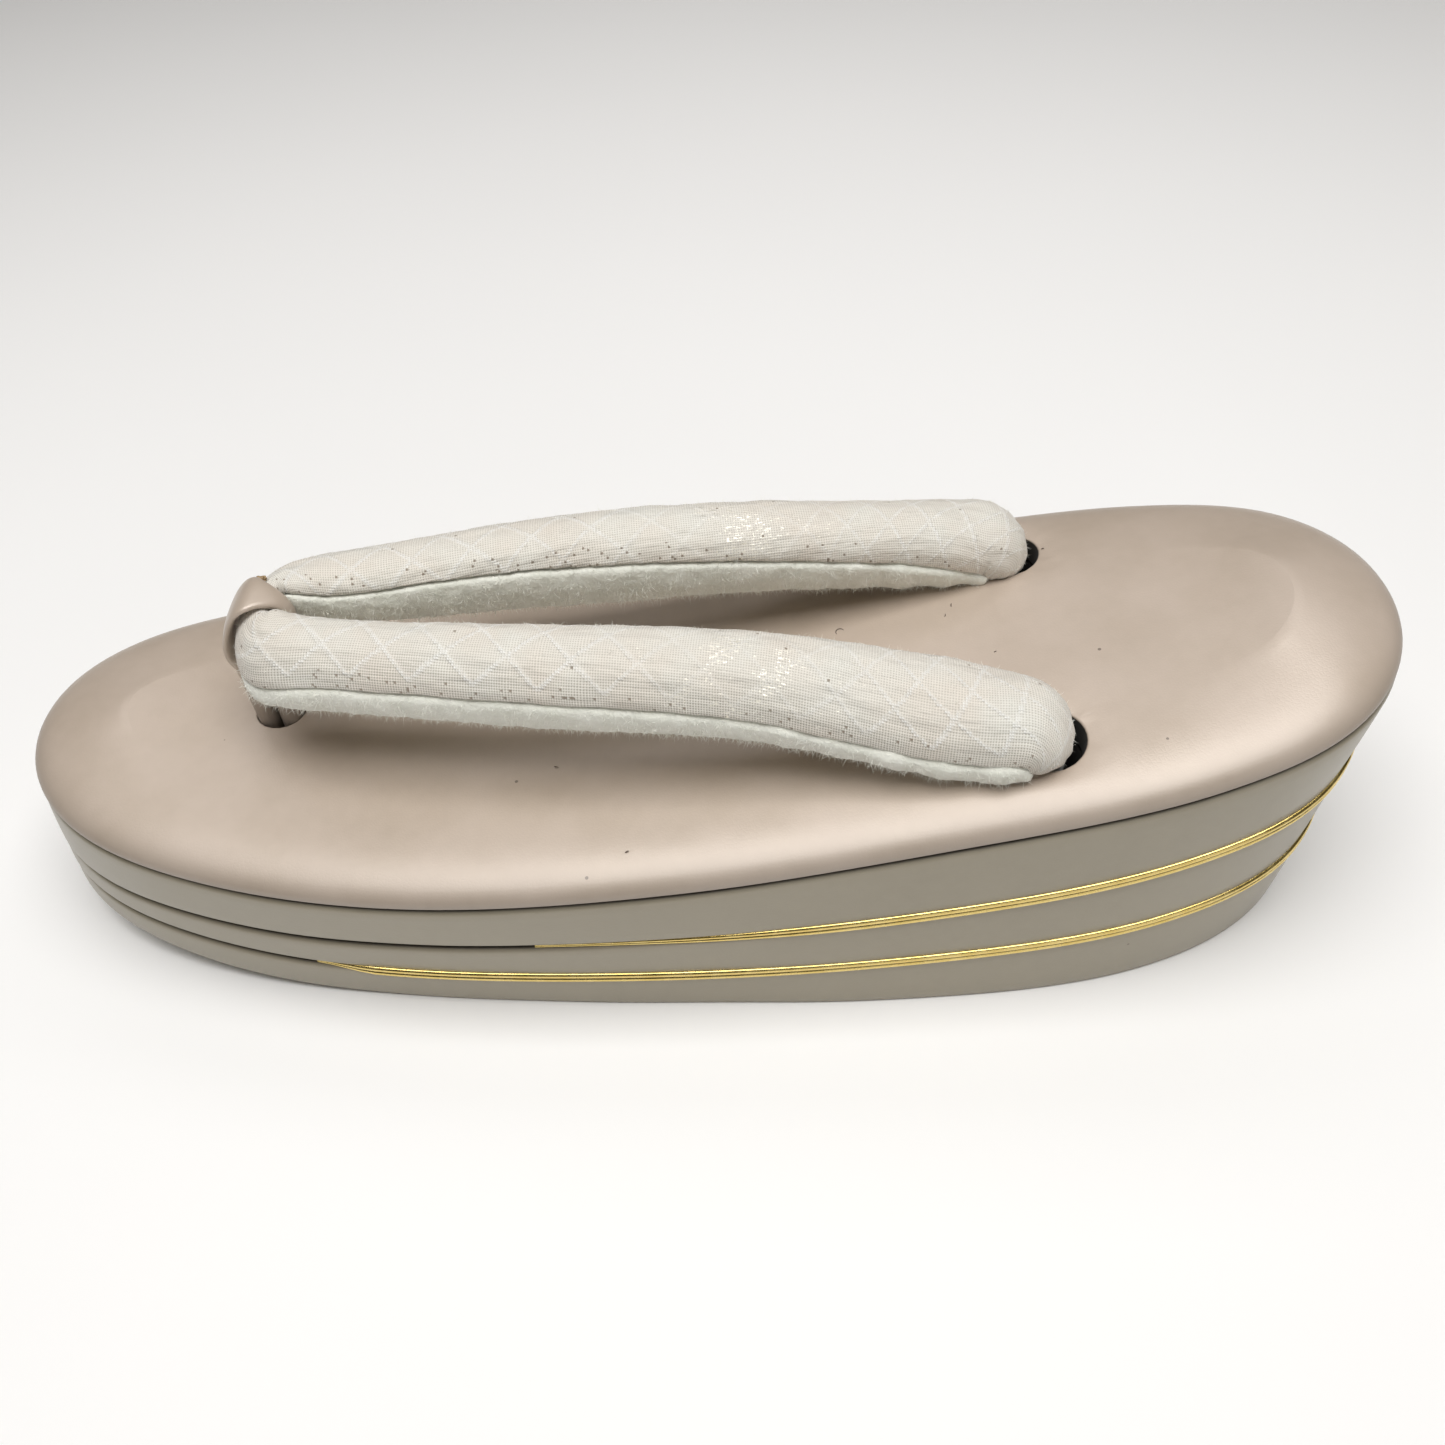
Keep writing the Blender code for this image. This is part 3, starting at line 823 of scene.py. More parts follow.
def clothPlaces(piece):
    # each vertex's place on the cloth map, its position and its normal
    mesh = piece.data
    places = np.zeros((len(mesh.vertices), 2))
    places[readNumbers(mesh.loops, "vertex_index")] = readNumbers(
        mesh.uv_layers["cloth"].data, "uv", 2, np.float32)
    return (places, readNumbers(mesh.vertices, "co", 3, np.float32),
            readNumbers(mesh.vertex_normals, "vector", 3, np.float32))


def movePoints(piece, points):
    piece.data.vertices.foreach_set("co", points.astype(np.float32).ravel())
    piece.data.update()


def lumps(points, scale, seed):
    # soft noise for many points, from -1 to 1
    shift = Vector((seed * 3.7, seed * 1.3, seed * 2.1))
    return np.array([noise.noise(Vector(point) * scale + shift) for point in points])


# Thong strap: brocade over padding, fleece underneath
strapForm = {
    "jointAhead": 0.0026,           # the joint sits this far behind the post's hole
    "rise": 0.0210,
    "halfWidth": 0.0095,
    "halfThick": 0.0075,
    "station": 0.0010,              # spacing of the sections along an arm
    "arc": 34,                      # points round the seen side of each half
    "chord": 4,                     # points across the hidden side
    "clearance": 0.00012,
    "bendRadius": 0.0046,           # the end bends down into its hole
    "bendSteps": 9,
    "bendKeep": 0.6,                # how fast the section shrinks to the peg's
    "bendSpread": 0.8,              # the cloth runs on the outside of the bend
    "bendSeams": 0.9,               # the seams have closed by this share of it
    "pegDepth": 0.0070,
    "pegSteps": 4,
    "pegWide": 0.0059,              # the end fills its hole from side to side
    "pegThick": 0.0042,
    "fleecePast": 6,                # sections of the bend that the fleece still follows
    "fleeceEnd": ((0.93, 0.0004), (0.78, 0.0008), (0.55, 0.0011), (0.25, 0.0013)),
    "pressure": (7.0, 2.5),         # of the padding under the brocade and in the fleece
    "tuck": 0.00032,                # both cloths turn in at their seam
    "tuckWide": 0.0010,
    # along, out, rise, tilt, wide, thick, outer seam, inner seam
    "sections": (
        (0.000, 0.000, 1.060, 66, 0.69, 0.48, 42, 200),
        (0.007, 0.180, 1.060, 63, 0.71, 0.50, 44, 200),
        (0.026, 0.300, 1.050, 54, 0.86, 0.63, 47, 198),
        (0.062, 0.390, 1.060, 42, 0.85, 0.73, 49, 195),
        (0.120, 0.443, 1.055, 35, 0.83, 0.79, 50, 191),
        (0.205, 0.510, 1.045, 35, 0.845, 0.85, 50, 188),
        (0.320, 0.596, 1.021, 35, 0.880, 0.93, 49, 188),
        (0.430, 0.660, 0.965, 35, 0.905, 1.00, 47, 190),
        (0.545, 0.717, 0.888, 35, 0.920, 1.01, 44, 195),
        (0.660, 0.778, 0.760, 35, 0.940, 0.985, 39, 201),
        (0.773, 0.865, 0.570, 34, 0.990, 0.95, 32, 207),
        (0.850, 0.930, 0.420, 31, 1.00, 0.94, 26, 211),
        (0.910, 0.975, 0.308, 25, 0.98, 0.95, 20, 214),
        (0.955, 1.000, 0.222, 16, 0.91, 0.92, 12, 218),
    ),
    "endSeams": (-48, 238),         # round the end the brocade closes almost all the way
    "fine": 600,                    # steps along an arm for measuring it
    "holeRoom": 0.0002,
    "smooth": 75,
}


def armCentre(row, side):
    jointX = holeForm["postX"] + strapForm["jointAhead"]
    x = jointX + row[0] * (holeForm["strapX"] - jointX)
    return Vector((x, row[1] * holeForm["strapOut"] * side, padTop(x) + row[2] * strapForm["rise"]))


def armStations(side):
    # evenly spaced sections of one arm, from the joint to the peg in the rear hole: distance along,
    # centre, outward and upward directions, and the row of the table
    columns = list(zip(*strapForm["sections"]))
    last = len(strapForm["sections"]) - 1
    steps = strapForm["fine"]
    fine = [[curveThrough(column, last * i / steps) for column in columns] for i in range(steps + 1)]
    centres = [armCentre(row, side) for row in fine]
    lengths = runningLengths(centres)
    count = int(lengths[-1] / strapForm["station"])
    stations = []
    for i in range(count + 1):
        goal = lengths[-1] * i / count
        k = min(int(np.searchsorted(lengths, goal)), steps)
        run = centres[min(k + 1, steps)] - centres[max(k - 1, 0)]
        if k == 0:
            run = Vector((0.0, side, 0.0))
        size = math.hypot(run.x, run.y)
        outward = Vector((-abs(run.y) / size, run.x / size * side, 0.0))
        stations.append((goal, centres[k], outward, Vector((0, 0, 1)), fine[k]))
    return stations + bendStations(stations[-1], side)


def bendStations(start, side):
    # the end rolls over and goes down into the hole
    goal, centre, _, _, row = start
    radius = strapForm["bendRadius"]
    pivot = Vector((centre.x, centre.y, centre.z - radius))
    stations = []
    for i in range(1, strapForm["bendSteps"] + 1):
        share = i / strapForm["bendSteps"]
        phase = math.pi / 2 * share
        up = Vector((math.sin(phase), 0, math.cos(phase)))
        keep = math.cos(phase) ** strapForm["bendKeep"]
        wide = strapForm["pegWide"] / strapForm["halfWidth"]
        thick = strapForm["pegThick"] / strapForm["halfThick"]
        close = softStep(0.0, strapForm["bendSeams"], share)
        seams = [a + (b - a) * close for a, b in zip(row[6:8], strapForm["endSeams"])]
        reach = radius + strapForm["bendSpread"] * strapForm["halfThick"] * row[5]
        stations.append((goal + reach * phase,
                         pivot + up * radius, Vector((0, side, 0)), up,
                         [*row[:3], row[3] * (1 - share), wide + (row[4] - wide) * keep,
                          thick + (row[5] - thick) * keep, *seams]))
    tip = stations[-1]
    for i in range(1, strapForm["pegSteps"] + 1):
        drop = strapForm["pegDepth"] * i / strapForm["pegSteps"]
        stations.append((tip[0] + drop, tip[1] - Vector((0, 0, drop)), *tip[2:]))
    return stations


def inHole(point, side):
    away = math.hypot(point.x - holeForm["strapX"], point.y - side * holeForm["strapOut"])
    return away < holeForm["strapRadius"] - strapForm["holeRoom"]


def strapRing(station, side, brocade):
    # one half of a section, with its edges turned in and the chord behind it, then each point's
    # way round it and its way to a seam
    _, centre, outward, up, row = station
    clear = math.degrees(strapForm["clearance"] / (strapForm["halfThick"] * row[5]))
    first, last = row[6] + clear, row[7] - clear
    if not brocade:
        first, last = row[7] + clear, row[6] + 360 - clear
    tilt = math.radians(row[3])
    ring = []
    for i in range(strapForm["arc"]):
        phase = math.radians(first + (last - first) * i / (strapForm["arc"] - 1))
        wide = strapForm["halfWidth"] * row[4] * math.cos(phase)
        thick = strapForm["halfThick"] * row[5] * math.sin(phase)
        ring.append(centre + outward * (wide * math.cos(tilt) + thick * math.sin(tilt))
                    + up * (thick * math.cos(tilt) - wide * math.sin(tilt)))
    around = runningLengths(ring)
    edges = [min(place, around[-1] - place) for place in around] + [0.0] * (strapForm["chord"] - 1)
    for i, point in enumerate(ring):
        edge = edges[i]
        point += (centre - point).normalized() * strapForm["tuck"] * math.exp(
            -(edge / strapForm["tuckWide"]) ** 2)
        if not inHole(point, side):
            point.z = max(point.z, padTop(point.x) + lastForm["gap"],
                          padSurface(point.x, point.y) + lastForm["gap"])
    start, end = ring[-1], ring[0]
    for i in range(1, strapForm["chord"]):
        ring.append(start.lerp(end, i / strapForm["chord"]))
        around.append(around[-1] + (end - start).length / strapForm["chord"])
    for point in ring:
        point.x += lastForm["shiftX"]
    return ring, around, edges


def endRing(ring, share, onward):
    centre = sum(ring, Vector()) / len(ring)
    return [centre + (point - centre) * share + onward for point in ring]


latticeForm = {
    "stitch": 0.00043,
    "phase": 0.0046,
    "along": 0.0104,                # from knot to knot along the strap
    "across": 0.0100,
    "start": 0.0028,                # first row of knots above the outer seam
    "width": 0.00042,
    "height": 0.00010,
    "shear": 0.25,                  # the cloth runs askew towards the rear ends
    "shearFrom": 0.100,
    # from where to where a drawn line, its first row and its dots fade
    "lineEdge": (0.060, 0.034),
    "startEdge": (-0.0004, 0.0001),
    "dot": (0.015, 0.110, 0.40, 1.0),
}


def latticeLines(places):
    # distance from the nearest raised line, in metres
    along, across = places[:, 0], places[:, 1] - latticeForm["start"]
    along = along - latticeForm["phase"] * (along > 0)
    askew = np.maximum(np.abs(along) - latticeForm["shearFrom"], 0.0)
    along = along + np.sign(along) * latticeForm["shear"] * askew * across / latticeForm["across"]
    nearest = np.full(len(places), 1.0)
    slant = latticeForm["along"] * latticeForm["across"] / math.hypot(latticeForm["along"],
                                                                      latticeForm["across"])
    for lean in (1, -1):
        turn = along / latticeForm["along"] + lean * across / latticeForm["across"]
        nearest = np.minimum(nearest, np.abs(turn - np.round(turn)) * slant)
    nearest[across < 0] = 1.0
    return nearest


clothForm = {
    "scale": 100.0,                 # simulated large, since the solver is made for garments
    "frames": 14,
    "most": 0.0006,                 # the padding never lifts the cloth further than this
    "settings": {"quality": 6, "mass": 0.20, "tension_stiffness": 14.0,
                 "compression_stiffness": 14.0, "shear_stiffness": 7.0, "bending_stiffness": 0.4},
    # where the cloth is held: this near a seam, the joint, the ends and a lattice line
    "seamHold": 0.0012,
    "jointHold": 0.007,
    "endHold": (0.014, 0.004),
    "lineHold": 0.0007,
    "lineShare": 0.75,
}


def puffCloth(piece, held, pressure):
    # lets the padding push the cloth out between the places where it is held
    rest = np.array([point.co[:] for point in piece.data.vertices])
    piece.data.transform(Matrix.Scale(clothForm["scale"], 4))
    group = piece.vertex_groups.new(name="held")
    for i, share in enumerate(held):
        group.add([i], float(share), "REPLACE")
    selectOnly(piece)
    cloth = piece.modifiers.new("padding", "CLOTH")
    for label, value in clothForm["settings"].items():
        setattr(cloth.settings, label, value)
    cloth.settings.use_pressure = True
    cloth.settings.uniform_pressure_force = pressure
    cloth.settings.vertex_group_mass = "held"
    cloth.settings.effector_weights.gravity = 0.0
    cloth.collision_settings.use_collision = False
    cloth.point_cache.frame_start = 1
    cloth.point_cache.frame_end = clothForm["frames"]
    for number in range(1, clothForm["frames"] + 1):
        bpy.context.scene.frame_set(number)
    applyModifiers(piece)
    bpy.context.scene.frame_set(1)
    piece.data.transform(Matrix.Scale(1 / clothForm["scale"], 4))
    piece.vertex_groups.clear()
    moved = np.array([point.co[:] for point in piece.data.vertices]) - rest
    size = np.linalg.norm(moved, axis=1)
    limit = np.minimum(1.0, clothForm["most"] / np.maximum(size, 1e-9))
    movePoints(piece, rest + moved * limit[:, None])
    print(f"{piece.name}: padding pushed the cloth out {size.mean() * 1000:.2f} mm on average")


def strapHalf(name, brocade):
    # both arms in one piece: far end, round the joint at the toe, near end
    past = strapForm["bendSteps"] + strapForm["pegSteps"]
    sections = []
    for side in (1, -1):
        stations = armStations(side)
        if not brocade:
            stations = stations[:-past + strapForm["fleecePast"]]
        made = [(*strapRing(station, side, brocade), -side * station[0]) for station in stations]
        sections += made[::-1] if side > 0 else made[1:]
    if not brocade:
        # rounded ends
        for end in (0, -1):
            ring, *rest = sections[end]
            soft = [(endRing(ring, share, Vector((onward, 0, 0))), *rest)
                    for share, onward in strapForm["fleeceEnd"]]
            sections = soft[::-1] + sections if end == 0 else sections + soft
    rings, around, edges, along = zip(*sections)
    piece = extrudeRings(name, rings)
    closePiece(piece, strapForm["smooth"])
    mapCloth(piece, along, around, edges)
    places = clothPlaces(piece)[0]
    away = np.abs(places[:, 0])
    seamAway = np.array([point.value for point in piece.data.attributes["seamAway"].data])
    held = np.exp(-(seamAway / clothForm["seamHold"]) ** 2)
    held = np.maximum(held, np.exp(-(away / clothForm["jointHold"]) ** 4))
    reach, fade = clothForm["endHold"]
    held = np.maximum(held, np.clip((away - away.max() + reach) / fade, 0.0, 1.0))
    if brocade:
        atLine = np.exp(-(latticeLines(places) / clothForm["lineHold"]) ** 2)
        held = np.maximum(held, clothForm["lineShare"] * atLine)
    puffCloth(piece, held, strapForm["pressure"][0 if brocade else 1])
    smoothOnce(piece)
    return piece


brocadeForm = {
    "wornAt": (0.098, 0.016),       # the lattice is flattened here, over this much
    "wornShare": 0.6,
    "broadLumps": (130.0, 0.00022),         # scale and height
    "fineLumps": (420.0, 0.00009),
    "jointGather": 0.010,           # gathers where the cloth turns round the joint
    "endGather": (0.8, 0.009),      # and down into the holes
    "foldPitch": 0.0034,
    "foldHeight": 0.00016,
    "foldWander": (90.0, 2.5),
    "plain": (0.0045, 0.003),       # nothing stands up under the toe loop
}


def makeBrocade():
    piece = strapHalf("strapBrocade", True)
    places, points, normals = clothPlaces(piece)
    away = np.abs(places[:, 0])
    lines = np.exp(-(latticeLines(places) / latticeForm["width"]) ** 2)
    wornAt, wornReach = brocadeForm["wornAt"]
    lines *= 1.0 - brocadeForm["wornShare"] * np.exp(-((away - wornAt) / wornReach) ** 2)
    soft = 0.0
    for seed, (scale, height) in enumerate((brocadeForm["broadLumps"], brocadeForm["fineLumps"]), 1):
        soft = soft + lumps(points, scale, seed) * height
    end = away.max() - strapForm["pegDepth"]
    endShare, endReach = brocadeForm["endGather"]
    gather = np.exp(-(away / brocadeForm["jointGather"]) ** 2)
    gather += endShare * np.exp(-((away - end) / endReach) ** 2)
    scale, strength = brocadeForm["foldWander"]
    turns = places[:, 1] / brocadeForm["foldPitch"] * math.tau + lumps(points, scale, 3) * strength
    folds = np.sin(turns) * gather * brocadeForm["foldHeight"]
    start, fade = brocadeForm["plain"]
    free = np.clip((away - start) / fade, 0.0, 1.0)
    points += normals * ((lines * latticeForm["height"] + soft + folds) * free)[:, None]
    movePoints(piece, points)
    return piece


fleeceForm = {
    "rear": (0.085, 0.05),          # it is fuller from here on, over this much
    "lastReach": 0.0035,            # and runs out at its end
    "proud": 0.00016,
    "ruffle": (0.0007, 0.0003, 0.0085),     # height, wave and its length
    "lumps": (210.0, 0.00020, 0.00030),     # scale, height, more towards the rear
    "tufts": (700.0, 0.00018),
    "curls": (1500.0, 0.00009),
    "overPad": 0.00025,
}


def makeFleece():
    piece = strapHalf("strapFleece", False)
    places, points, normals = clothPlaces(piece)
    away = np.abs(places[:, 0])
    start, reach = fleeceForm["rear"]
    rear = np.clip((away - start) / reach, 0.0, 1.0)
    last = np.clip((away.max() - away) / fleeceForm["lastReach"], 0.0, 1.0) ** 0.5
    height, wave, length = fleeceForm["ruffle"]
    ruffle = height + wave * np.sin(places[:, 0] * math.tau / length)
    scale, even, more = fleeceForm["lumps"]
    puff = fleeceForm["proud"] + ruffle * rear * last + lumps(points, scale, 4) * (even + more * rear)
    for seed, (scale, height) in enumerate((fleeceForm["tufts"], fleeceForm["curls"]), 5):
        puff += lumps(points, scale, seed) * height
    points += normals * puff[:, None]
    low = np.array([padTop(x - lastForm["shiftX"]) for x in points[:, 0]]) + fleeceForm["overPad"]
    points[:, 2] = np.maximum(points[:, 2], low)
    movePoints(piece, points)
    return piece


fuzzForm = {
    "fleece": {"fibres": 38000, "length": (0.0005, 0.0014), "seed": 11},
    "brocade": {"fibres": 5000, "length": (0.0003, 0.0009), "seed": 12},
    "width": 0.000065,
    "wander": 0.66,
    "curl": 0.5,
    "taper": 0.7,
    "steps": 3,
}


def makeFuzz(base, name, cloth):
    # short fibres standing on a cloth, as one mesh
    count, reach = fuzzForm[cloth]["fibres"], fuzzForm[cloth]["length"]
    base.data.calc_loop_triangles()
    corners = np.array([tri.vertices[:] for tri in base.data.loop_triangles])
    points = np.array([point.co[:] for point in base.data.vertices])
    a, b, c = (points[corners[:, k]] for k in range(3))
    cross = np.cross(b - a, c - a)
    areas = np.linalg.norm(cross, axis=1)
    chance = np.random.default_rng(fuzzForm[cloth]["seed"])
    picked = chance.choice(len(areas), count, p=areas / areas.sum())
    shares = chance.random((count, 2))
    over = shares.sum(axis=1) > 1
    shares[over] = 1 - shares[over]
    roots = (a[picked] + (b - a)[picked] * shares[:, :1] + (c - a)[picked] * shares[:, 1:])
    facing = cross[picked] / areas[picked][:, None]
    grow = facing + chance.normal(0, fuzzForm["wander"], (count, 3))
    grow /= np.linalg.norm(grow, axis=1)[:, None]
    curl = chance.normal(0, fuzzForm["curl"], (count, 3))
    side = np.cross(grow, chance.normal(0, 1, (count, 3)))
    side *= fuzzForm["width"] / 2 / np.linalg.norm(side, axis=1)[:, None]
    length = chance.uniform(*reach, (count, 1))
    rows = []
    steps = fuzzForm["steps"]
    for i in range(steps):
        share = i / steps
        middle = roots + grow * length * share + curl * length * share * share * 0.5
        narrow = side * (1 - share * fuzzForm["taper"])
        rows += [middle - narrow, middle + narrow]
    rows.append(roots + grow * length + curl * length * 0.5)
    stacked = np.stack(rows, axis=1)
    each = 2 * steps + 1
    faces = []
    for k in range(count):
        first = k * each
        for i in range(steps - 1):
            faces.append((first + 2 * i, first + 2 * i + 1, first + 2 * i + 3, first + 2 * i + 2))
        faces.append((first + 2 * steps - 2, first + 2 * steps - 1, first + 2 * steps))
    fuzzMesh = bpy.data.meshes.new(name)
    fuzzMesh.from_pydata(stacked.reshape(-1, 3).tolist(), [], faces)
    return placeNew(name, fuzzMesh)


# Toe post: a leather loop over the joint with two legs down into the front hole
postForm = {
    "bandThick": 0.0008,
    "bandWide": 0.0046,
    "clearance": 0.00015,
    "start": 22.0,                  # the loop's turn round the joint, in degrees
    "end": 332.0,
    "behindStart": 150.0,           # behind the joint it is narrower and stands off a little
    "behindTurn": 55.0,
    "behindNarrow": 0.66,
    "behindRoom": 0.0007,
    "legThick": 0.0019,
    "legWide": 0.0033,
    "slit": 0.00036,
    "boxy": 0.80,                   # the loop is squarer than an ellipse
    "loopSteps": 16,
    "fine": 5,
    "sides": 40,
    "square": 2.6,                  # the band is flatter than an ellipse
    # height, lean, thin, wide
    "legs": ((0.00, 0.00, 0.00, 0.00), (0.45, 0.00, 0.00, 0.00), (0.65, 0.09, 0.12, 0.15),
             (0.82, 0.41, 0.45, 0.40), (0.93, 0.74, 0.75, 0.70)),
    "legShade": 0.38,               # painted shade: the legs are darker, down in the fold of the strap
    "legDark": (0.002, 0.015),
    "smooth": 60,
}


def rounded(value, power):
    # a sine or cosine, bent towards a squarer outline
    return math.copysign(abs(value) ** power, value)


def postPath():
    joint = strapForm["sections"][0]
    centre = armCentre(joint, 1)
    tilt = math.radians(joint[3])
    room = postForm["clearance"] + postForm["bandThick"]
    longWay = strapForm["halfWidth"] * joint[4] + room
    shortWay = strapForm["halfThick"] * joint[5] + room
    loop = []
    whole = postForm["end"] - postForm["start"]
    for step in range(postForm["loopSteps"] + 1):
        angle = postForm["start"] + whole * step / postForm["loopSteps"]
        behind = min(max((angle - postForm["behindStart"]) / postForm["behindTurn"], 0.0), 1.0)
        far = longWay * rounded(math.cos(math.radians(angle)), postForm["boxy"])
        near = shortWay + postForm["behindRoom"] * behind
        near *= rounded(math.sin(math.radians(angle)), postForm["boxy"])
        wide = postForm["bandWide"] * (1 - postForm["behindNarrow"] * behind)
        loop.append((centre.x - far * math.cos(tilt) - near * math.sin(tilt),
                     centre.z - far * math.sin(tilt) + near * math.cos(tilt),
                     postForm["bandThick"], wide))
    foot = seamHeight(holeForm["postX"]) - holeForm["depth"] + lastForm["gap"]
    spread = postForm["legThick"] + postForm["slit"] / 2
    legs = []
    for side, top in ((-1, loop[0]), (1, loop[-1])):
        footX = holeForm["postX"] + side * spread
        legs.append([(footX + (top[0] - footX) * lean, foot + (top[1] - foot) * height,
                      postForm["legThick"] + (top[2] - postForm["legThick"]) * thin,
                      postForm["legWide"] + (top[3] - postForm["legWide"]) * wide)
                     for height, lean, thin, wide in postForm["legs"]])
    return legs[0] + loop + legs[1][::-1]


def makePost():
    rows = postPath()
    columns = list(zip(*rows))
    count = (len(rows) - 1) * postForm["fine"]
    path = [[curveThrough(column, i / postForm["fine"]) for column in columns]
            for i in range(count + 1)]
    flat = 2 / postForm["square"]
    rings = []
    for i, (x, z, halfThick, halfWide) in enumerate(path):
        before, after = path[max(i - 1, 0)], path[min(i + 1, count)]
        runX, runZ = after[0] - before[0], after[1] - before[1]
        if i in (0, count):
            runX = 0.0
        size = math.hypot(runX, runZ)
        ring = []
        for step in range(postForm["sides"]):
            phase = math.tau * step / postForm["sides"]
            wide = rounded(math.cos(phase), flat) * halfWide
            deep = rounded(math.sin(phase), flat) * halfThick
            ring.append(Vector((x - runZ / size * deep + lastForm["shiftX"], wide,
                                z + runX / size * deep)))
        rings.append(ring)
    piece = extrudeRings("toePost", rings)
    closePiece(piece, postForm["smooth"])
    top = padTop(holeForm["postX"])
    # painted shade on the legs below the pad's top
    markPaintedShade(piece, lambda number, place: postForm["legShade"] * (
        1.0 - softStep(*postForm["legDark"], place.z - top)))
    return piece


# Gold piping: two fine metallic cords laid together in each groove
pipingForm = {
    "strand": 0.00062,
    "apart": 0.00056,
    "inset": -0.00005,
    "sides": 36,
    "wrap": 0.003,                  # round the pair on its cloth map
    "deeper": 0.001,                # a line this far in shows the way out of the groove
    "endShare": 0.35,               # size and depth of the pair where it starts
    "endSink": 0.0006,
    # turn from the toe where the gold starts, and how slowly the pair comes out of its groove
    "upper": (78.0, 0.060),
    "lower": (56.0, 0.012),
    "smooth": 80,
}


def makePiping(name, shareAt, start, taper):
    spots = list(zip(outlineTurns(), outlineRing(shareAt, pipingForm["inset"], 0.0),
                     outlineRing(shareAt, pipingForm["inset"] + pipingForm["deeper"], 0.0)))
    line = [spot for spot in spots if spot[0] >= start]
    line += [spot for spot in spots if spot[0] <= -start]
    lengths = runningLengths([centre for _, centre, _ in line])
    rings = []
    for i, (_, centre, inner) in enumerate(line):
        outward = (centre - inner).normalized()
        run = line[min(i + 1, len(line) - 1)][1] - line[max(i - 1, 0)][1]
        up = run.cross(outward).normalized()
        if up.z < 0:
            up = -up
        fromEnd = min(lengths[i], lengths[-1] - lengths[i])
        full = softStep(0.0, taper, fromEnd)
        size = pipingForm["endShare"] + (1 - pipingForm["endShare"]) * full
        sink = pipingForm["endSink"] * (1 - full)
        ring = []
        for step in range(pipingForm["sides"]):
            phase = math.tau * step / pipingForm["sides"]
            # outline of two cords lying one above the other
            reach = pipingForm["apart"] * abs(math.sin(phase)) + math.sqrt(
                pipingForm["strand"] ** 2 - (pipingForm["apart"] * math.cos(phase)) ** 2)
            ring.append(centre - outward * sink
                        + (outward * math.cos(phase) + up * math.sin(phase)) * reach * size)
        rings.append(ring)
    piece = extrudeRings(name, rings)
    closePiece(piece, pipingForm["smooth"])
    around = [pipingForm["wrap"] * step / pipingForm["sides"] for step in range(pipingForm["sides"])]
    mapCloth(piece, lengths, [around] * len(rings))
    return piece


# Dust fibres lying on the pad, and the scrap of brocade that shows beside the toe loop
lintForm = {
    "thick": 0.00010,
    "above": 0.00012,
    "arch": 0.00015,
    "points": 9,
    # x, y, length, turn, curl
    "fibres": ((0.0471, 0.008, 0.0010, 60, 40), (0.0486, 0.0103, 0.0012, 100, -50),
               (0.0542, -0.0026, 0.0006, 20, 0), (0.0292, 0.0083, 0.0034, 110, 260),
               (0.0744, -0.0088, 0.0014, 70, 30), (0.0753, -0.0076, 0.0012, -60, -20),
               (0.076, -0.0086, 0.0012, 60, 30), (0.0769, -0.0078, 0.0013, -70, 10),
               (0.0665, 0.0227, 0.0005, 0, 0), (-0.0835, -0.0075, 0.0006, 30, 0),
               (-0.0224, -0.0167, 0.0009, -40, 60), (-0.0092, -0.0352, 0.0007, 10, 30)),
    "scrap": (-0.0709, 0.0046, 0.0659),
    "scrapSize": (0.0010, 0.0006, 0.0007),
    "crumples": ((1.9, 0.5), (5.0, 0.3)),   # scale and depth
}


def makeLint():
    line = bpy.data.curves.new("padLint", "CURVE")
    line.dimensions = "3D"
    line.bevel_depth = lintForm["thick"]
    line.bevel_resolution = 1
    for x, y, length, turn, curl in lintForm["fibres"]:
        strand = line.splines.new("POLY")
        strand.points.add(lintForm["points"] - 1)
        place = Vector((x, y))
        for i, spot in enumerate(strand.points):
            arch = lintForm["arch"] * math.sin(math.pi * i / (lintForm["points"] - 1))
            lift = lintForm["above"] + arch
            spot.co = (place.x + lastForm["shiftX"], place.y, padSurface(*place) + lift, 1.0)
            spot.radius = 0.5 + 0.5 * math.sin(math.pi * (i + 0.5) / lintForm["points"])
            way = math.radians(turn + curl * i / lintForm["points"])
            place += Vector((math.cos(way), math.sin(way))) * length / lintForm["points"]
    selectOnly(placeNew("padLint", line))
    bpy.ops.object.convert(target="MESH")
    return bpy.context.object


def makeScrap():
    clearSelection()
    x, y, height = lintForm["scrap"]
    bpy.ops.mesh.primitive_ico_sphere_add(subdivisions=4, radius=1.0)
    scrap = bpy.context.object
    scrap.name = scrap.data.name = "toeScrap"
    place = Vector((x + lastForm["shiftX"], y, height))
    for point in scrap.data.vertices:
        crumple = 1.0 + sum(deep * noise.noise(point.co * scale)
                            for scale, deep in lintForm["crumples"])
        point.co = place + Vector([a * b * crumple for a, b in zip(point.co, lintForm["scrapSize"])])
    bpy.ops.object.shade_smooth()
    return scrap


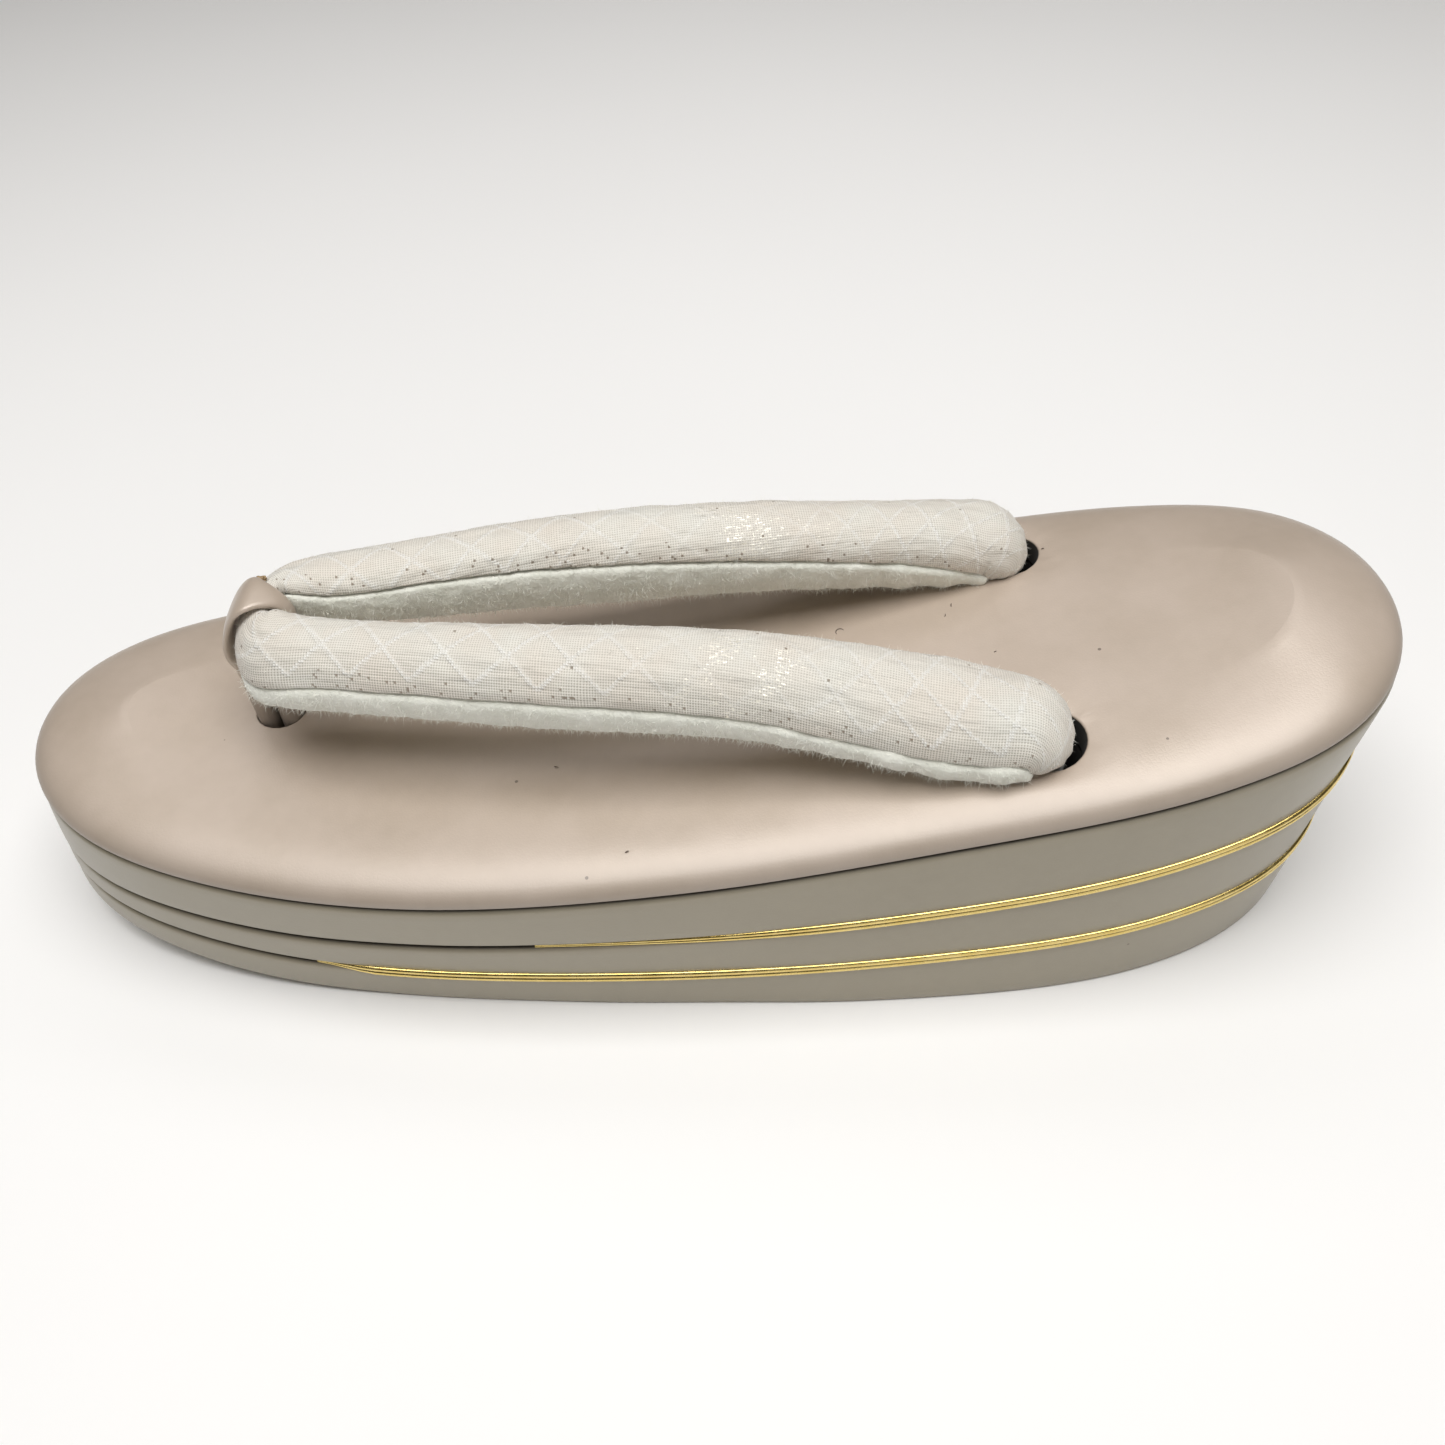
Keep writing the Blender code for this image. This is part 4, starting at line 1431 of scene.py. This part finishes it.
# Cloth and metal finishes
brocadeLook = {
    "ground": (0.800, 0.788, 0.730),
    "warm": (0.790, 0.735, 0.660),
    "thread": (0.985, 0.985, 0.960),
    "threadShare": 0.66,
    # painted shade in the gaps between the threads
    "gap": (0.250, 0.215, 0.160),
    "lame": (1.000, 0.960, 0.850),
    "lameShare": 0.9,
    "lameMetal": 0.45,
    # painted shade in the open eyelets
    "eyeletShade": (0.160, 0.110, 0.060),
    "eyeletShadeShare": 0.7,
    "pitch": 0.00043,
    "toneScale": 90.0,
    "patchScale": 160.0,
    # along the strap: the lattice fades and the metal thread shows where the cloth is worn smooth
    "wornFrom": (0.060, 0.082),
    "wornTo": (0.116, 0.094),
    "wornShare": 0.65,
    "broken": (0.12, 0.45, 0.4, 1.0),       # some crossings of the lattice hardly show
    "flank": (0.0080, 0.0025, 0.55, 1.00),  # the weave is more open towards the outer seam, so more painted shade shows in its gaps
    "eyelets": (0.0040, 0.0008, 0.0015, 0.04),      # their share, by the way to a seam
    "dash": (0.36, 1.0, 1.0),               # flashes of metal thread, drawn out along the strap
    "dashScale": 2900.0,
    "dashLimit": 0.80,
    "dashMore": 0.25,                       # so many more of them where it is worn
    "patchEdge": (0.25, 0.70),
    "dashCrossings": (0.30, 0.60),
    "pucker": (0.22, 1.0, 1.0),
    "puckerScale": 420.0,
    "rough": (0.75, 0.40),
    "sheen": 0.25,
    "sheenRough": 0.45,
    # strength and height of the puckers, the weave and the lattice
    "bumps": ((0.75, 0.0010), (0.60, 0.00013), (0.60, 0.00022)),
}


def clothPlace(tree, stretch=None):
    # a place on the piece's own cloth map, drawn out where the pattern runs along it
    cloth = newNode(tree, "UVMap", {}, uv_map="cloth").outputs["UV"]
    if stretch:
        return newNode(tree, "Mapping", {"Vector": cloth, "Scale": stretch}).outputs["Vector"]
    return cloth


def makeLatticeGroup():
    # raised diamond lines, counted in whole stitches, so they are rows of dots
    form = latticeForm
    group, given, made = newGroup("diamondLattice", ("Cloth",), ("Lines",))
    split = newNode(group, "SeparateXYZ", {0: given["Cloth"]}).outputs
    stitched = []
    spots = []
    for label in "XY":
        stitches = mathNode(group, "DIVIDE", split[label], form["stitch"])
        middle = mathNode(group, "ADD", mathNode(group, "FLOOR", stitches), 0.5)
        stitched.append(times(group, middle, form["stitch"]))
        spots.append(mathNode(group, "PINGPONG", stitches, 0.5))
    nearArm = mathNode(group, "GREATER_THAN", split["X"], 0.0)
    along = minus(group, stitched[0], times(group, nearArm, form["phase"]))
    across = minus(group, stitched[1], form["start"])
    past = minus(group, mathNode(group, "ABSOLUTE", along), form["shearFrom"])
    rear = mathNode(group, "MAXIMUM", past, 0.0)
    push = times(group, times(group, rear, across), form["shear"] / form["across"])
    sheared = mathNode(group, "ADD", along, times(group, mathNode(group, "SIGN", along), push))
    near = []
    for lean in (1.0, -1.0):
        turn = mathNode(group, "ADD", mathNode(group, "DIVIDE", sheared, form["along"]),
                        times(group, across, lean / form["across"]))
        near.append(mathNode(group, "PINGPONG", turn, 0.5))
    lines = rangeNode(group, mathNode(group, "MINIMUM", *near), *form["lineEdge"])
    above = rangeNode(group, across, *form["startEdge"])
    dot = rangeNode(group, times(group, *spots), *form["dot"])
    feed(group, made["Lines"], times(group, times(group, lines, above), dot))
    return group


effects["lattice"] = makeLatticeGroup()


def makeBrocadeFinish():
    look = brocadeLook
    finish, tree, shader, where = newFinish("brocadeCloth")
    cloth = clothPlace(tree)
    split = newNode(tree, "SeparateXYZ", {0: cloth}).outputs
    weave = useEffect(tree, "weave", cloth, Pitch=look["pitch"])
    lattice = useEffect(tree, "lattice", cloth)["Lines"]
    tone = useEffect(tree, "mottle", where, Scale=look["toneScale"])["Tone"]
    patches = useEffect(tree, "mottle", where, Scale=look["patchScale"])["Tone"]
    away = mathNode(tree, "ABSOLUTE", split["X"])
    worn = times(tree, rangeNode(tree, away, *look["wornFrom"]), rangeNode(tree, away, *look["wornTo"]))
    lines = times(tree, lattice, minus(tree, 1.0, times(tree, worn, look["wornShare"])))
    raised = times(tree, lines, rangeNode(tree, weave["Crossing"], *look["broken"]))
    ground = mixColour(tree, tone, look["ground"], look["warm"])
    # painted shade in the gaps of the weave, more open towards the outer seam
    gaps = times(tree, weave["Gaps"], rangeNode(tree, split["Y"], *look["flank"]))
    threads = mathNode(tree, "MULTIPLY", raised, look["threadShare"], clamp=True)
    threaded = mixColour(tree, threads, mixColour(tree, gaps, ground, look["gap"]), look["thread"])
    # tiny open eyelets, mostly along the seams, filled with painted shade
    seam = newNode(tree, "Attribute", {}, attribute_name="seamAway").outputs["Fac"]
    eyelets = mathNode(tree, "LESS_THAN", weave["Crossing"], rangeNode(tree, seam, *look["eyelets"]))
    dotted = mixColour(tree, times(tree, eyelets, look["eyeletShadeShare"]), threaded, look["eyeletShade"])
    # flashes of metal thread in short dashes
    flash = noiseNode(tree, clothPlace(tree, look["dash"]), look["dashScale"], 1.0)
    patchy = times(tree, worn, rangeNode(tree, patches, *look["patchEdge"]))
    more = times(tree, patchy, look["dashMore"])
    bright = mathNode(tree, "GREATER_THAN", flash, minus(tree, look["dashLimit"], more))
    lame = times(tree, bright, rangeNode(tree, weave["Crossing"], *look["dashCrossings"]))
    setShader(tree, shader, {
        "Base Color": mixColour(tree, times(tree, lame, look["lameShare"]), dotted, look["lame"]),
        "Metallic": times(tree, lame, look["lameMetal"]),
        "Roughness": rangeNode(tree, lame, 0.0, 1.0, *look["rough"]),
        "Sheen Weight": look["sheen"],
        "Sheen Roughness": look["sheenRough"],
    })
    puckers = noiseNode(tree, clothPlace(tree, look["pucker"]), look["puckerScale"])
    heights = (puckers, weave["Height"], raised)
    addBumps(tree, shader, *[(height, *bump) for height, bump in zip(heights, look["bumps"])])
    return finish


fleeceLooks = {
    "fleeceCloth": ((0.775, 0.785, 0.700), (0.875, 0.880, 0.805)),
    "fuzzHair": ((0.860, 0.865, 0.790), (0.930, 0.935, 0.870)),
    "toneScale": 240.0,
    "rough": (0.92, 1.0),
    "sheen": 0.5,
    "sheenRough": 0.6,
    # noise scale, detail and roughness, then strength and height
    "tufts": ((900.0, 3.0, 0.6), (0.7, 0.0004)),
    "curls": ((2600.0, 5.0, 0.7), (0.8, 0.0002)),
}


def makeFleeceFinish(name):
    finish, tree, shader, where = newFinish(name)
    tone = useEffect(tree, "mottle", where, Scale=fleeceLooks["toneScale"])["Tone"]
    setShader(tree, shader, {
        "Base Color": mixColour(tree, tone, *fleeceLooks[name]),
        "Roughness": rangeNode(tree, tone, 0.0, 1.0, *fleeceLooks["rough"]),
        "Sheen Weight": fleeceLooks["sheen"],
        "Sheen Roughness": fleeceLooks["sheenRough"],
    })
    addBumps(tree, shader, *[(noiseNode(tree, where, *fleeceLooks[part][0]), *fleeceLooks[part][1])
                             for part in ("tufts", "curls")])
    return finish


goldLook = {
    "tones": ((0.72, 0.54, 0.17), (0.86, 0.68, 0.28)),
    "toneScale": 300.0,
    "shade": (0.10, 0.060, 0.015),          # painted shade between the two cords and at their foot
    "shadeEdge": (0.055, 0.020),
    "wrapShade": (0.16, 0.10, 0.03),        # painted shade between the turns of the fine wrapping thread
    "wrapPitch": (0.00055, 0.0015),         # along the cord and round it
    "wrapEdge": (0.10, 0.0, 0.0, 0.12),
    "wrapBump": (0.04, 0.0001),
    "rough": (0.20, 0.32),
}


def makeGoldFinish():
    finish, tree, shader, where = newFinish("goldCord")
    split = newNode(tree, "SeparateXYZ", {0: clothPlace(tree)}).outputs
    slants = [mathNode(tree, "DIVIDE", split[label], pitch)
              for label, pitch in zip("XY", goldLook["wrapPitch"])]
    wraps = mathNode(tree, "PINGPONG", mathNode(tree, "ADD", *slants), 0.5)
    tone = useEffect(tree, "mottle", where, Scale=goldLook["toneScale"])["Tone"]
    bright = mixColour(tree, tone, *goldLook["tones"])
    turn = mathNode(tree, "PINGPONG", mathNode(tree, "DIVIDE", split["Y"], pipingForm["wrap"]), 0.5)
    # painted shade in the grooves between the wraps and in the valley between the two cords
    edges = rangeNode(tree, wraps, *goldLook["wrapEdge"])
    wrapped = mixColour(tree, edges, bright, goldLook["wrapShade"])
    between = rangeNode(tree, turn, *goldLook["shadeEdge"])
    setShader(tree, shader, {
        "Base Color": mixColour(tree, between, wrapped, goldLook["shade"]),
        "Roughness": rangeNode(tree, tone, 0.0, 1.0, *goldLook["rough"]),
        "Metallic": 1.0,
    })
    addBumps(tree, shader, (wraps, *goldLook["wrapBump"]))
    return finish


scrapLooks = {
    # dark, light, share of metal
    "lintFibre": ((0.10, 0.075, 0.055), (0.20, 0.16, 0.13), 0.0),
    "scrapCloth": ((0.16, 0.09, 0.04), (0.62, 0.46, 0.26), 0.6),
    "toneScale": 1400.0,
    "metalFrom": 0.2,
    "rough": (0.7, 0.4),
}


def makeScrapFinish(name):
    finish, tree, shader, where = newFinish(name)
    dark, light, metal = scrapLooks[name]
    tone = useEffect(tree, "mottle", where, Scale=scrapLooks["toneScale"])["Tone"]
    setShader(tree, shader, {
        "Base Color": mixColour(tree, tone, dark, light),
        "Metallic": rangeNode(tree, tone, scrapLooks["metalFrom"], 1.0, 0.0, metal),
        "Roughness": rangeNode(tree, tone, 0.0, 1.0, *scrapLooks["rough"]),
    })
    return finish


brocadeCloth = makeBrocadeFinish()
fleeceCloth = makeFleeceFinish("fleeceCloth")
fuzzHair = makeFleeceFinish("fuzzHair")
goldCord = makeGoldFinish()

brocadePiece = makeBrocade()
finishPiece(brocadePiece, "strap_upper", brocadeCloth)
print("brocade ready")
fleecePiece = makeFleece()
finishPiece(fleecePiece, "strap_lining", fleeceCloth)
finishPiece(makeFuzz(fleecePiece, "fleeceFuzz", "fleece"), None, fuzzHair)
finishPiece(makeFuzz(brocadePiece, "brocadeFuzz", "brocade"), None, fuzzHair)
print("fleece ready")
finishPiece(makePost(), "toe_post", pearlLeather)
finishPiece(makePiping("goldPipingUpper", upperGroove, *pipingForm["upper"]),
            "gold_piping_upper", goldCord)
finishPiece(makePiping("goldPipingLower", lowerGroove, *pipingForm["lower"]),
            "gold_piping_lower", goldCord)
finishPiece(makeLint(), None, makeScrapFinish("lintFibre"))
finishPiece(makeScrap(), None, makeScrapFinish("scrapCloth"))
print("toe post, piping and lint ready")

# Studio: pale floor, a broad soft light overhead, and weaker ones behind and in front
studio = {
    "eye": (0.01555, -0.15608, 0.20330),
    "lookAt": (0.00205, 0.00070, 0.03000),
    "turnFix": (0.01, 1.37, 4.63),  # the camera turns about right, up and back, in turnShare steps
    "turnShare": 0.02,              # radians
    "lens": 31.0,
    "sensor": 36.0,
    "nearest": 0.01,                # the camera shows nothing closer than this
    "floorSize": 6.0,
    "paper": ((0.94, 0.94, 0.94), (0.97, 0.97, 0.97)),
    "paperRough": 0.9,
    # name, place, size, power in watts, colour
    "lights": (
        ("overhead", (0.00, -0.10, 0.85), (0.90, 0.50), 7.6, (1.0, 0.99, 0.975)),
        ("behind", (0.02, 0.44, 0.72), (1.00, 0.28), 0.9, (1.0, 0.975, 0.97)),
        ("front", (0.45, -0.95, 0.35), (0.90, 0.50), 1.4, (1.0, 0.99, 0.97)),
    ),
    "lightsAim": (0, 0, 0.03),
    "air": (1.0, 0.92, 0.80, 1.0),
    "airStrength": 0.075,
}


def makeCamera():
    eye = Vector(studio["eye"])
    back = (eye - Vector(studio["lookAt"])).normalized()
    right = Vector((0, 0, 1)).cross(back).normalized()
    up = back.cross(right)
    rows = Matrix((right, up, back))
    for angle, axis in zip(studio["turnFix"], "XYZ"):
        rows = Matrix.Rotation(angle * studio["turnShare"], 3, axis) @ rows
    pose = rows.transposed().to_4x4()
    pose.translation = eye
    data = bpy.data.cameras.new("studioCamera")
    data.lens = studio["lens"]
    data.sensor_width = studio["sensor"]
    data.clip_start = studio["nearest"]
    camera = placeNew("studioCamera", data)
    camera.matrix_world = pose
    bpy.context.scene.camera = camera


def makeLight(name, place, size, power, colour):
    data = bpy.data.lights.new(name, "AREA")
    data.shape = "RECTANGLE"
    data.size, data.size_y = size
    data.energy = power
    data.color = colour
    light = placeNew(name, data)
    light.location = place
    way = Vector(studio["lightsAim"]) - Vector(place)
    light.rotation_euler = way.to_track_quat("-Z", "Y").to_euler()


def makeFloor():
    clearSelection()
    bpy.ops.mesh.primitive_plane_add(size=studio["floorSize"], location=(0, 0, 0))
    floor = bpy.context.object
    floor.name = "studioFloor"
    finish, tree, shader, where = newFinish("floorPaper")
    tone = useEffect(tree, "mottle", where, Scale=2.0)["Tone"]
    setShader(tree, shader, {"Base Color": mixColour(tree, tone, *studio["paper"]),
                             "Roughness": studio["paperRough"]})
    floor.data.materials.append(finish)


makeCamera()
makeFloor()
for light in studio["lights"]:
    makeLight(*light)
world = bpy.data.worlds.new("studioAir")
bpy.context.scene.world = world
world.use_nodes = True
air = world.node_tree.nodes["Background"]
air.inputs["Color"].default_value = studio["air"]
air.inputs["Strength"].default_value = studio["airStrength"]
bpy.context.scene.view_settings.view_transform = "Standard"
print("studio ready")
